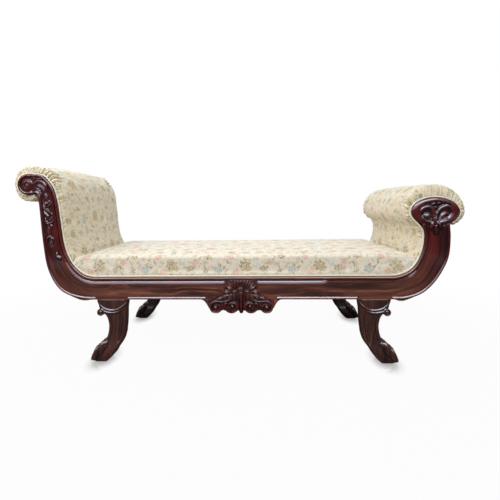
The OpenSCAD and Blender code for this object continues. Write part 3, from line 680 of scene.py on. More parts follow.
def build_petal_group() -> Tree:
    """Flat flower or leaf of the print: a rounded patch with petals, longer one way than the other.

    Returns:
        The group's tree.
    """
    nodes, given, wanted = new_group(
        "Printed petal", {"Vector": "Vector", "Centre": "Vector", "Turn": "Float", "Length": "Float",
                          "Width": "Float", "Petals": "Float", "Depth": "Float"}, {"Mask": "Float"})
    away = nodes.vector("SUBTRACT", given["Vector"], given["Centre"])
    turned = nodes.add("VectorRotate", {"Vector": away, "Angle": given["Turn"]}, rotation_type="Z_AXIS")
    x, y, _ = nodes.parts(turned.outputs[0])
    x, y = nodes.math("DIVIDE", x, given["Length"]), nodes.math("DIVIDE", y, given["Width"])
    wave = nodes.math("COSINE", nodes.times(nodes.math("ARCTAN2", y, x), given["Petals"]))
    edge = nodes.times(nodes.math("SUBTRACT", wave, 1.0), given["Depth"])
    reach = nodes.math("SQRT", nodes.math("ADD", nodes.times(x, x), nodes.times(y, y)))
    nodes.feed(wanted, {"Mask": nodes.step(nodes.math("SUBTRACT", reach, edge), 1.12, 0.86)})
    return nodes.tree


@dataclass(frozen=True)
class Petal:
    """A patch of the print: its place in the bouquet, size, turn in degrees, petals and colour."""

    place: Place
    length: float
    width: float
    turn: float
    petals: float
    depth: float
    colour: Colour


SAGE: Colour = (0.33, 0.27, 0.13)
OLIVE: Colour = (0.34, 0.25, 0.09)
TAN: Colour = (0.5, 0.4, 0.2)
SLATE: Colour = (0.34, 0.41, 0.41)
SKY: Colour = (0.5, 0.62, 0.61)
ROSE: Colour = (0.78, 0.42, 0.31)
BLUSH: Colour = (0.68, 0.35, 0.27)
PALE: Colour = (0.86, 0.8, 0.7)
LEAVES = (SAGE, OLIVE, TAN)

BOUQUET = tuple(Petal(*row) for row in (
    ((0.11, 0.018), 0.027, 0.027, 20, 7, 0.14, OLIVE),
    ((0.124, 0.006), 0.015, 0.019, 70, 5, 0.14, TAN),
    ((-0.12, 0.006), 0.015, 0.02, 100, 6, 0.14, OLIVE),
    ((-0.046, 0.055), 0.018, 0.0105, 10, 5, 0.14, OLIVE),
    ((-0.05, -0.004), 0.014, 0.0085, -15, 4, 0.15, OLIVE),
    ((-0.056, 0.018), 0.013, 0.0034, 75, 1, 0.0, SAGE),
    ((0.006, 0.02), 0.01, 0.0085, 60, 3, 0.2, OLIVE),
    ((0.024, 0.01), 0.011, 0.0075, -35, 3, 0.2, OLIVE),
    ((0.04, 0.033), 0.0105, 0.0062, 80, 2, 0.15, SAGE),
    ((-0.075, 0.048), 0.012, 0.005, 120, 2, 0.15, OLIVE),
    ((-0.103, 0.012), 0.01, 0.005, 50, 1, 0.0, SAGE),
    ((0.08, -0.03), 0.014, 0.008, 0, 4, 0.25, OLIVE),
    ((0.02, -0.048), 0.024, 0.016, -20, 6, 0.15, TAN),
    ((-0.1, -0.05), 0.022, 0.015, 30, 6, 0.15, OLIVE),
    ((0.135, -0.055), 0.015, 0.009, -50, 4, 0.25, TAN),
    ((0.06, -0.052), 0.014, 0.0036, 30, 1, 0.0, SAGE),
    ((0.0, 0.0), 0.0215, 0.0165, 10, 5, 0.13, SLATE),
    ((-0.002, 0.003), 0.01, 0.0075, 40, 5, 0.15, SKY),
    ((0.076, -0.006), 0.0165, 0.013, 0, 5, 0.13, ROSE),
    ((0.053, 0.055), 0.0165, 0.0145, 30, 5, 0.13, BLUSH),
    ((-0.094, 0.033), 0.0145, 0.014, 15, 5, 0.13, BLUSH),
    ((-0.081, -0.007), 0.018, 0.013, 0, 6, 0.16, PALE),
    ((0.146, 0.037), 0.01, 0.0065, 0, 4, 0.15, SKY),
    ((-0.142, 0.024), 0.009, 0.009, 0, 4, 0.15, SKY),
    ((-0.042, -0.052), 0.0165, 0.013, 40, 5, 0.13, SLATE),
    ((0.102, -0.056), 0.014, 0.0115, 20, 5, 0.13, ROSE),
))


def build_print_group(petal: Tree) -> Tree:
    """Repeating bouquets on a woven ground, set half a repeat aside in every second row.

    Args:
        petal: Group that draws one patch.

    Returns:
        The group, which reads places on the cloth in metres.
    """
    nodes, given, wanted = new_group(
        "Bouquet print", {"Vector": "Vector", "Ground": "Color", "Pinks": "Float"},
        {"Color": "Color", "Height": "Float"})
    repeat, rise, warp, weft = 0.305, 0.15, 0.0011, 0.0009
    wobble = nodes.add("TexNoise", {"Vector": given["Vector"], "Scale": 90.0, "Detail": 2.0}).outputs["Color"]
    place = nodes.vector("ADD", given["Vector"], nodes.vector(
        "MULTIPLY", nodes.vector("SUBTRACT", wobble, (0.5, 0.5, 0.5)), (0.014, 0.014, 0)))
    split = nodes.parts(place)
    row = nodes.math("ROUND", nodes.math("DIVIDE", split[1], rise))
    odd = nodes.math("MODULO", nodes.math("ABSOLUTE", row), 2.0)
    aside = nodes.math("MULTIPLY_ADD", odd, repeat / 2, split[0])
    local = nodes.pair(nodes.math("WRAP", aside, repeat / 2, -repeat / 2),
                       nodes.math("WRAP", split[1], rise / 2, -rise / 2))
    slub = nodes.noise(nodes.vector("MULTIPLY", given["Vector"], (60, 420, 0)), 1.0, 3.0, 0.6)
    fleck = nodes.noise(nodes.vector("MULTIPLY", given["Vector"], (160, 170, 0)), 1.0, 3.0, 0.7)
    foliage = nodes.noise(nodes.vector("MULTIPLY", given["Vector"], (44, 54, 0)), 1.0, 4.0, 0.66)
    colour = nodes.blend(nodes.step(slub, 0.6, 0.38, 0.0, 0.3), given["Ground"], (0.6, 0.52, 0.36))
    colour = nodes.blend(nodes.step(foliage, 0.5, 0.61, 0.0, 0.52), colour, (0.46, 0.37, 0.21))
    colour = nodes.blend(nodes.step(fleck, 0.56, 0.68, 0.0, 0.32), colour, OLIVE)
    thread = nodes.step(nodes.noise(nodes.vector("MULTIPLY", given["Vector"], (420, 300, 0)), 1.0, 2.0),
                        0.36, 0.62, 0.55, 1.0)
    patchy = nodes.noise(given["Vector"], 150.0, 3.0, 0.65)
    broken = nodes.step(patchy, 0.43, 0.57, 0.12, 1.0)
    petals = nodes.times(thread, nodes.step(patchy, 0.38, 0.6, 0.42, 1.0))
    cover = 0.0
    for patch in BOUQUET:
        drawn = nodes.group(petal, {
            "Vector": local, "Centre": (*patch.place, 0), "Turn": math.radians(patch.turn),
            "Length": patch.length, "Width": patch.width, "Petals": patch.petals, "Depth": patch.depth})[0]
        mask = nodes.times(drawn, broken if patch.colour in LEAVES else petals)
        share = given["Pinks"] if patch.colour in (ROSE, BLUSH) else 0.95
        colour = nodes.blend(nodes.times(mask, share), colour, patch.colour)
        cover = nodes.math("MAXIMUM", cover, mask)
    fine = nodes.vector("MULTIPLY", given["Vector"], (2 * math.pi / warp, 2 * math.pi / weft, 0))
    ways = nodes.parts(fine)
    weave = nodes.times(nodes.math("SINE", ways[0]), nodes.math("SINE", ways[1]), 0.3)
    nodes.feed(wanted, {"Color": colour, "Height": nodes.math("ADD", weave, nodes.math("ADD", cover, slub))})
    return nodes.tree


def new_material(name: str) -> tuple[Nodes, bpy.types.Node]:
    """Starts a material.

    Args:
        name: Name of the material.

    Returns:
        Its nodes and its Principled shader.
    """
    material = bpy.data.materials.new(name)
    material.use_nodes = True
    nodes = Nodes(material.node_tree)
    return nodes, material.node_tree.nodes["Principled BSDF"]


@dataclass(frozen=True)
class WoodFinish:
    """Wood with grain between three colours and, if polished, a clear coat."""

    name: str
    dark: Colour
    middle: Colour
    light: Colour
    hollow: Colour
    crest: Colour
    coat: float
    grain: Grain
    stain: Colour = (0.57, 0.14, 0.21)

    def build(self, grain_group: Tree, crest_group: Tree) -> None:
        """Builds the material from the shared groups.

        Args:
            grain_group: The wood grain.
            crest_group: The carved polish, with painted shade and painted highlight.
        """
        nodes, shader = new_material(self.name)
        if self.grain is Grain.PIECE:
            place = nodes.add("UVMap", uv_map="UVMap").outputs[0]
        else:
            place = nodes.add("TexCoord").outputs["Object"]
            turns = {Grain.X: (0, 0, 0), Grain.Y: (0, 0, math.pi / 2), Grain.Z: (0, math.pi / 2, 0)}
            place = nodes.add("Mapping", {"Vector": place, "Rotation": turns[self.grain]}).outputs[0]
        grain = nodes.group(grain_group, {
            "Vector": place, "Dark": (*self.dark, 1), "Middle": (*self.middle, 1), "Light": (*self.light, 1)})
        # Polish in the carving, with painted shade in the hollows and a painted highlight on the crests.
        polish_and_shade = nodes.group(crest_group, {"Color": grain["Color"], "Hollow": (*self.hollow, 1),
                                           "Crest": (*self.crest, 1)})
        stained = nodes.add("Attribute", attribute_name="stain").outputs["Fac"]
        bump = nodes.add("Bump", {"Strength": 0.12, "Distance": 0.0004, "Height": grain["Height"]})
        nodes.feed(shader, {
            "Base Color": nodes.blend(stained, polish_and_shade[0], self.stain, "MULTIPLY"), "Normal": bump.outputs[0],
            "Roughness": grain["Roughness"], "Coat Weight": self.coat, "Coat Roughness": 0.06,
            "Specular IOR Level": 0.15})


@dataclass(frozen=True)
class PrintedCloth:
    """Cloth with the bouquet print on a ground colour."""

    name: str
    ground: Colour
    pinks: float

    def build(self, print_group: Tree) -> None:
        """Builds the material from the shared print.

        Args:
            print_group: The bouquet print.
        """
        nodes, shader = new_material(self.name)
        cloth = nodes.group(print_group, {"Vector": nodes.add("UVMap", uv_map="UVMap").outputs[0],
                                          "Ground": (*self.ground, 1), "Pinks": self.pinks})
        bump = nodes.add("Bump", {"Strength": 0.25, "Distance": 0.0006, "Height": cloth["Height"]})
        nodes.feed(shader, {"Base Color": cloth["Color"], "Normal": bump.outputs[0], "Roughness": 0.82,
                            "Sheen Weight": 0.28, "Sheen Roughness": 0.45, "Specular IOR Level": 0.25})


@dataclass(frozen=True)
class PlainCloth:
    """Plain woven cloth, webbing or foam: two tones, a thread pitch in metres and a roughness."""

    name: str
    base: Colour
    shadow: Colour
    pitch: float
    roughness: float

    def build(self) -> None:
        """Builds the material on object coordinates."""
        nodes, shader = new_material(self.name)
        place = nodes.add("TexCoord").outputs["Object"]
        x, y, z = nodes.parts(nodes.vector("MULTIPLY", place, (2 * math.pi / self.pitch,) * 3))
        rib = nodes.times(nodes.math("SINE", nodes.math("ADD", x, z)), nodes.math("SINE", y))
        fuzz = nodes.noise(place, 0.6 / self.pitch, 3.0, 0.6)
        tone = nodes.math("MULTIPLY_ADD", rib, 0.25, fuzz)
        bump = nodes.add("Bump", {"Strength": 0.3, "Distance": self.pitch / 3, "Height": tone})
        nodes.feed(shader, {"Base Color": nodes.blend(nodes.step(tone, 0.25, 0.75), self.shadow, self.base),
                            "Normal": bump.outputs[0], "Roughness": self.roughness, "Sheen Weight": 0.1,
                            "Specular IOR Level": 0.2})


@dataclass(frozen=True)
class PlainMetal:
    """Bare metal with fine scratches."""

    name: str
    base: Colour
    roughness: float

    def build(self) -> None:
        """Builds the material on object coordinates."""
        nodes, shader = new_material(self.name)
        place = nodes.add("TexCoord").outputs["Object"]
        scratch = nodes.noise(nodes.vector("MULTIPLY", place, (900, 120, 900)), 1.0, 3.0)
        dull = tuple(0.7 * part for part in self.base)
        colour = nodes.blend(nodes.step(scratch, 0.3, 0.7), dull, self.base)
        rough = nodes.step(scratch, 0.3, 0.7, self.roughness, self.roughness + 0.15)
        nodes.feed(shader, {"Base Color": colour, "Roughness": rough, "Metallic": 1.0})


def build_finishes() -> None:
    """Builds the shared groups and every material."""
    grain, crest = build_grain_group(), build_crest_group()
    printed = build_print_group(build_petal_group())
    bright = dict(dark=(0.04, 0.013, 0.01), middle=(0.165, 0.054, 0.034), light=(0.29, 0.096, 0.058),
                  hollow=(0.007, 0.0028, 0.003), crest=(0.15, 0.048, 0.032), coat=0.9)
    deep = dict(dark=(0.02, 0.0075, 0.0062), middle=(0.06, 0.0205, 0.014), light=(0.125, 0.04, 0.023),
                hollow=(0.005, 0.0022, 0.0025), crest=(0.085, 0.028, 0.018), coat=0.9)
    beech = dict(dark=(0.36, 0.21, 0.11), middle=(0.5, 0.32, 0.18), light=(0.6, 0.42, 0.25),
                 hollow=(0.3, 0.18, 0.1), crest=(0.62, 0.44, 0.28), coat=0.0)
    for name, way, colours in (("rosewood-piece", Grain.PIECE, bright), ("rosewood-z", Grain.Z, deep),
                               ("beech-x", Grain.X, beech), ("beech-y", Grain.Y, beech)):
        WoodFinish(name, grain=way, **colours).build(grain, crest)
    PrintedCloth("tapestry-seat", (0.81, 0.738, 0.628), 0.95).build(printed)
    # Painted shade: the arms' cloth has a darker, yellower ground than the seat's.
    PrintedCloth("tapestry-arms-shaded", (0.78, 0.7, 0.535), 0.62).build(printed)
    for finish in (PlainCloth("piping-cloth", (0.89, 0.83, 0.7), (0.76, 0.69, 0.54), 0.0012, 0.8),
                   PlainCloth("jute-webbing", (0.42, 0.31, 0.17), (0.25, 0.17, 0.09), 0.0022, 0.9),
                   PlainCloth("seat-foam", (0.84, 0.76, 0.52), (0.66, 0.58, 0.38), 0.0016, 0.95),
                   PlainCloth("cambric", (0.022, 0.022, 0.025), (0.008, 0.008, 0.009), 0.0009, 0.9),
                   PlainMetal("screw-steel", (0.6, 0.6, 0.58), 0.3)):
        finish.build()


def dress(piece: Piece, finish: str) -> None:
    """Gives a piece one finish all over."""
    piece.data.materials.clear()
    piece.data.materials.append(bpy.data.materials[finish])


# Woodwork

TENTHS = 10000


@dataclass(frozen=True)
class Ridge:
    """A carved ridge: its course in X and Z, half width and height, how full its ends are, and its vein."""

    course: tuple[Place, ...]
    half_width: float
    height: float
    start: float = 0.3
    stop: float = 0.3
    vein: float = 0.0
    full_from: float = 0.35
    full_to: float = 0.7
    roundness: float = 0.82
    vein_width: float = 0.2

    def height_at(self, x: Points, z: Points) -> Points:
        """Height of the ridge over the face.

        Args:
            x: X of the places.
            z: Z of them.

        Returns:
            A height for each place, 0 beside the ridge.
        """
        path = curve_through(self.course, 6 * len(self.course))
        heights = np.zeros(len(x))
        reach = self.half_width + 0.001
        near = ((x > path[:, 0].min() - reach) & (x < path[:, 0].max() + reach)
                & (z > path[:, 1].min() - reach) & (z < path[:, 1].max() + reach))
        if not near.any():
            return heights
        place = np.column_stack([x[near], z[near]])
        run = np.diff(path, axis=0)
        away = place[:, None] - path[None, :-1]
        share = np.clip((away * run).sum(2) / np.maximum((run * run).sum(1), 1e-12), 0, 1)
        distance = np.linalg.norm(away - share[..., None] * run, axis=2)
        best = distance.argmin(1)
        rows = np.arange(len(place))
        along = (best + share[rows, best]) / len(run)
        full = np.interp(along, [0, self.full_from, self.full_to, 1], [self.start, 1, 1, self.stop])
        across = distance[rows, best] / (self.half_width * full)
        body = np.clip(1 - across * across, 0, 1) ** self.roundness
        body *= 1 - self.vein * np.exp(-(across / self.vein_width) ** 2)
        heights[near] = self.height * full ** 0.5 * body
        return heights


def ridges(*rows: tuple) -> tuple[Ridge, ...]:
    """Ridges from rows of course, half width and height in tenths of a millimetre, and then ends and vein."""
    return tuple(Ridge(tuple((x / TENTHS, z / TENTHS) for x, z in course), half / TENTHS, height / TENTHS,
                       *ends) for course, half, height, *ends in rows)


def bosses(*rows: tuple[int, int, int, int]) -> tuple[Ridge, ...]:
    """Round bosses from rows of X, Z, radius and height in tenths of a millimetre."""
    return ridges(*((((x, z), (x + 4, z)), radius, height, 1.0, 1.0) for x, z, radius, height in rows))


def spiral(centre: Place, start: float, stop: float, outer: float, inner: float) -> tuple[Place, ...]:
    """Places on a spiral round a centre, from one angle in degrees and radius to another."""
    turns, radii = np.radians(np.linspace(start, stop, 14)), np.linspace(outer, inner, 14)
    return tuple((centre[0] + r * math.cos(a), centre[1] + r * math.sin(a)) for a, r in zip(turns, radii))


def carved(cut: tuple[Ridge, ...], x: Points, z: Points) -> Points:
    """Height of the highest of some ridges over the face.

    Args:
        cut: The ridges.
        x: X of the places.
        z: Z of them.

    Returns:
        A height for each place.
    """
    heights = np.zeros(x.size)
    for ridge in cut:
        heights = np.maximum(heights, ridge.height_at(x.ravel(), z.ravel()))
    return heights.reshape(x.shape)


def half_round(distance: Points, start: float, width: float) -> Points:
    """Half-round bead between two distances, 1 at its crest."""
    across = 2 * (distance - start) / width - 1
    return np.sqrt(np.clip(1 - across * across, 0, 1))


HEAD_CARVING = (
    Ridge(spiral((-0.8655, 0.735), -30, 215, 0.0145, 0.0125), 0.0074, 0.0068),
    *bosses((-8655, 7350, 225, 50), (-8660, 7330, 62, 64), (-7867, 6528, 78, 70), (-7737, 6610, 62, 64),
            (-7295, 4262, 62, 62)),
    *ridges(
        (((-8350, 7410), (-8190, 7480), (-8000, 7425), (-7872, 7250), (-7790, 7060)), 96, 64, 0.35, 0.1, 0.1),
        (((-8260, 7320), (-8116, 7287), (-7988, 7159), (-7904, 7012)), 58, 55, 0.4, 0.1, 0.4),
        (((-8260, 7190), (-8150, 7090), (-8085, 6940), (-8060, 6780)), 52, 46, 0.4, 0.1, 0.4),
        (((-8380, 7610), (-8180, 7600), (-8015, 7575)), 42, 40, 0.4, 0.2),
        (((-7890, 6980), (-7865, 6820), (-7820, 6680)), 62, 42, 0.2, 0.6, 0.4),
        (((-7985, 6650), (-7975, 6500), (-7870, 6400), (-7730, 6460), (-7645, 6590)), 32, 42),
        (((-7985, 6400), (-7950, 6355), (-7785, 6250), (-7610, 6090)), 40, 64, 0.5, 0.2),
        (((-7950, 6230), (-7916, 6145), (-7800, 6030), (-7750, 5895)), 38, 44, 0.4, 0.2),
        (((-7620, 5990), (-7650, 5880), (-7730, 5830)), 38, 40, 0.3, 0.5),
        (((-7895, 5930), (-7880, 5812), (-7750, 5690), (-7580, 5792), (-7555, 5910)), 42, 60),
        (((-7690, 5680), (-7640, 5600), (-7625, 5490)), 45, 46, 0.6, 0.1),
        (((-7790, 5620), (-7760, 5420), (-7700, 5230)), 75, 26, 0.3, 0.2, 0.5),
        (((-7855, 4980), (-7838, 5066), (-7714, 5146), (-7590, 5048), (-7570, 4940)), 46, 60),
        (((-7705, 5030), (-7640, 4790), (-7530, 4580)), 72, 30, 0.5, 0.1, 0.5),
        (((-7430, 4490), (-7410, 4345), (-7297, 4260)), 48, 56, 0.3, 0.7),
    ),
)

FOOT_CARVING = (
    *bosses((7735, 5830, 155, 74)),
    *ridges(
        (((7420, 5880), (7455, 6040), (7610, 6165), (7780, 6205), (7935, 6120), (8000, 5960), (7965, 5790),
          (7860, 5690)), 84, 50, 0.4, 0.25),
        (((7560, 5860), (7570, 5740), (7650, 5650), (7760, 5640)), 40, 50),
        (((8075, 5840), (8121, 5960), (8240, 6117), (8380, 6200), (8530, 6230), (8690, 6150), (8770, 6000),
          (8760, 5860), (8680, 5760)), 92, 54, 0.35, 0.25),
        (((8220, 5720), (8310, 5830), (8430, 5930), (8560, 5910)), 86, 48, 0.4, 0.5),
        (((8300, 5650), (8440, 5720), (8580, 5750)), 45, 48),
        (((7900, 6270), (8000, 6350), (8110, 6340)), 36, 45),
        (((8290, 6290), (8200, 6360), (8110, 6340)), 36, 45),
        (((8060, 6130), (8085, 6240)), 45, 50),
        (((7870, 5560), (7960, 5600), (8040, 5720), (8070, 5850)), 58, 90, 0.3, 0.6),
        (((8280, 5750), (8190, 5680), (8110, 5600)), 50, 72, 0.4, 0.5),
        (((7960, 5840), (8000, 5680), (8060, 5500)), 88, 118, 0.5, 0.6, 0.3),
        (((7970, 5600), (7900, 5480), (7850, 5320)), 70, 106, 0.5, 0.3, 0.35),
        (((8110, 5600), (8190, 5500), (8220, 5350)), 70, 106, 0.5, 0.3, 0.35),
        (((8040, 5520), (8055, 5320), (8070, 5120)), 80, 108, 0.6, 0.15, 0.4),
    ),
)

WALL_DEPTHS = (0.2925, 0.272, SIZES.inner_y)


def ring_loft(name: str, x: Points, z: Points, height: Points, along: Points) -> Piece:
    """Bar with a carved front face, flat sides and a flat back.

    Args:
        name: Name of the piece.
        x: X of the front face's points, one row for each station.
        z: Z of them.
        height: Height of each over the field's plane.
        along: Distance of each station from the bar's start.

    Returns:
        The closed bar.
    """
    depths = np.array(WALL_DEPTHS + WALL_DEPTHS[::-1])
    front = np.stack([x, -SIZES.field_y - height, z], axis=2)
    sides = np.repeat(front[:, [-1, 0]], len(WALL_DEPTHS), axis=1)
    sides[..., 1] = -depths
    rings = np.concatenate([front, sides, front[:, :1]], axis=1)
    girth = np.zeros(rings.shape[:2])
    girth[:, 1:] = np.cumsum(np.linalg.norm(np.diff(rings, axis=1), axis=2), axis=1)
    return loft(name, rings, np.stack([np.tile(along[:, None], (1, rings.shape[1])), girth], axis=2))


@dataclass(frozen=True)
class Moulding:
    """Section of the rails and uprights: inner bead, groove, bevel, plain field and outer bead."""

    groove_columns: tuple[float, ...] = (0.0012, 0.0025, 0.0038)
    bevel_round: float = 1.35
    bead_profile: tuple[Place, ...] = ((0, 0), (0.17, 0.02), (0.59, 0.73), (0.75, 0.7), (0.9, 0.46), (1, 0))

    def columns(self, width: Points) -> Points:
        """Distances of the front face's columns from the inner edge.

        Args:
            width: Width of the bar at each station.

        Returns:
            One row for each width.
        """
        bead = (1 - np.cos(np.linspace(0, np.pi, 9))) / 2
        groove_end = SIZES.inner_bead + SIZES.groove
        fixed = np.concatenate([SIZES.inner_bead * bead, SIZES.inner_bead + np.array(self.groove_columns),
                                groove_end + 1.08 * SIZES.bevel_w * np.linspace(0, 1, 11)])
        rest = width[:, None] - SIZES.outer_bead - fixed[-1]
        plain = fixed[-1] + rest * np.linspace(0, 1, 24)[1:]
        outer = width[:, None] - SIZES.outer_bead * (1 - bead[1:])
        return np.hstack([np.tile(fixed, (len(width), 1)), plain, outer])

    def height(self, a: Points, width: Points, bevel: Points, outer: Points) -> Points:
        """Height of the section over the plain field.

        Args:
            a: Distances from the inner edge, one row for each station.
            width: Width of the bar at each station.
            bevel: How deep the bevel is cut there, from 0 to 1.
            outer: How far the outer bead stands out there, from 0 to 1.

        Returns:
            A height for each distance.
        """
        groove_end = SIZES.inner_bead + SIZES.groove
        up = np.clip((a - groove_end) / SIZES.bevel_w, 0, 1)
        sunk = -SIZES.bevel_depth * (1 - up) ** self.bevel_round * bevel[:, None] * (a > SIZES.inner_bead)
        sunk = np.where((a > SIZES.inner_bead) & (a < groove_end), -SIZES.bevel_depth, sunk)
        share = (a - width[:, None] + SIZES.outer_bead) / SIZES.outer_bead
        profile = np.interp(share, *np.array(self.bead_profile).T)
        beads = SIZES.relief * np.maximum(half_round(a, 0, SIZES.inner_bead), outer[:, None] * profile)
        return np.where(beads > 0, beads, sunk)


@dataclass
class ScrollUpright:
    """One moulded upright that ends in a carved scroll, with its mirror image at the back."""

    course: ArmCourse
    last: float
    carving: tuple[Ridge, ...]
    bevel_rows: tuple[Place, ...]
    scroll_reach: Span
    proud_scroll: bool
    strip_sink: float
    rim_w: float = 0.012
    rim_h: float = 0.0052
    rim_round: float = 1
    scroll_lift: float = 0.0
    groove_w: float = 0.007
    groove_depth: float = 0.0026
    rim_from: Span = (60, 80)
    rim_to: Span = (288, 305)
    spacing: float = 0.0026
    stain_reach: Span = (0.03, 0.26)
    shaded_reach: Span = (0.9, 2.2)
    scroll_shade: float = 0.14

    def covered(self, x: Points, z: Points) -> Points:
        """How far a place lies inside the scroll: 1 at its rim, 0 in its middle, more than 1 outside."""
        return np.hypot((x - self.course.scroll[0]) / self.scroll_reach[0],
                        (z - self.course.scroll[1]) / self.scroll_reach[1])

    def strip(self) -> Piece:
        """The moulded bar from the rail into the scroll, sunk where the scroll covers it.

        Returns:
            The closed bar.
        """
        ts = self.course.even_places(1, self.last, self.spacing)
        middle, half, across = self.course.stations(ts)
        moulding = Moulding()
        a = moulding.columns(2 * half)
        top = middle + half[:, None] * across
        x, z = top[:, :1] - a * across[:, :1], top[:, 1:] - a * across[:, 1:]
        bevel = np.interp(ts, *np.array(self.bevel_rows).T)
        height = moulding.height(a, 2 * half, bevel, np.ones(len(ts)))
        relief = carved(self.carving, x, z)
        height = np.where(relief > 0, np.maximum(height, relief - 0.0005), height)
        height -= self.strip_sink * np.clip((0.985 - self.covered(x, z)) / 0.08, 0, 1)
        run = self.course.joint_x + self.course.end.value * path_lengths(middle)
        return ring_loft("strip", x, z, height, run)

    def scroll(self) -> Piece:
        """The scroll's disc, with its rim bead and carving.

        Returns:
            The closed disc.
        """
        rings, spokes = 46, 168
        even = np.linspace(0, 1, rings)[:, None]
        share = 0.5 * np.sqrt(even) + 0.5 * even
        turn = np.linspace(0, 2 * np.pi, spokes + 1)[None, :]
        x = self.course.scroll[0] + share * self.scroll_reach[0] * np.cos(turn)
        z = self.course.scroll[1] + share * self.scroll_reach[1] * np.sin(turn)
        inward = (1 - share) * min(self.scroll_reach) * np.ones_like(turn)
        rim = self.rim_h * half_round(inward, 0, self.rim_w) ** self.rim_round
        rim -= self.groove_depth * half_round(inward, self.rim_w - 0.001, self.groove_w)
        if not self.proud_scroll:
            turned = np.degrees(turn)
            rim *= np.minimum(smoothstep(*self.rim_from, turned), 1 - smoothstep(*self.rim_to, turned))
        height = np.maximum(rim, carved(self.carving, x, z)) + self.scroll_lift * (inward > 0)
        front = np.stack([x, -SIZES.field_y - height, z], axis=2)
        wall = np.stack([front[-1]] * len(WALL_DEPTHS))
        wall[..., 1] = -np.array((0.2935, *WALL_DEPTHS[1:]))[:, None]
        middle = np.tile([self.course.scroll[0], -SIZES.inner_y, self.course.scroll[1]], (spokes + 1, 1))
        points = np.concatenate([front, wall, middle[None]])
        grain = np.stack([points[..., 2], points[..., 0] - 0.3 * points[..., 1]], axis=2)
        piece = lay_grid("scroll", points, grain)
        turn_outwards(piece, 2e-5)
        return piece

    def build(self) -> None:
        """Builds the front upright and mirrors it to the back."""
        side = self.course.end.name.lower()
        front = join([self.strip(), self.scroll()], f"{side}_front_scroll_upright")
        shade(front)
        mark_crests(front, joints=(self.course.joint_x,))
        x, _, z = get_points(front).T
        far = np.hypot(x - self.course.joint_x, z - SIZES.rail_mid)
        store(front, "stain", smoothstep(*self.stain_reach, far))
        # Painted shade: the scroll and its surround are darkened by lowering their crest values towards the
        # hollow colour.
        near = 1 - smoothstep(*self.shaded_reach, self.covered(x, z))
        store(front, "crest", take_back(front, "crest") - self.scroll_shade * near)
        dress(front, "rosewood-piece")
        on_both_faces(front, "rosewood", side + "_{}_upright")


@dataclass
class MouldedRail:
    """The long rail, whose outer bead stops at the legs' shields and at the apron's carving."""

    shield_half: float = 0.067
    apron_gap: float = 0.144
    carving_gap: float = 0.06
    bevel_span: Span = (0.352, 0.392)
    bevel_fade: float = 0.75
    stations: int = 700

    def build(self) -> None:
        """Builds the front rail and mirrors it to the back."""
        x = np.linspace(SIZES.head_joint_x, SIZES.foot_joint_x, self.stations)
        outer = np.ones(len(x))
        for centre, reach in ((SIZES.head_leg_x, self.shield_half), (SIZES.foot_leg_x, self.shield_half),
                              (SIZES.apron_x, self.apron_gap)):
            outer *= smoothstep(reach - 0.001, reach + 0.003, np.abs(x - centre))
        bevel = smoothstep(self.carving_gap, self.carving_gap + 0.012, np.abs(x - SIZES.apron_x))
        bevel *= 1 - self.bevel_fade * smoothstep(*self.bevel_span, x)
        width = np.full(len(x), SIZES.rail_h)
        a = Moulding().columns(width)
        height = Moulding().height(a, width, bevel, outer)
        wide = np.tile(x[:, None], (1, a.shape[1]))
        front = ring_loft("front_moulded_rail", wide, SIZES.rail_top - a, height, x)
        shade(front)
        mark_crests(front, joints=(SIZES.head_joint_x, SIZES.foot_joint_x))
        dress(front, "rosewood-piece")
        on_both_faces(front, "rosewood", "{}_rail")


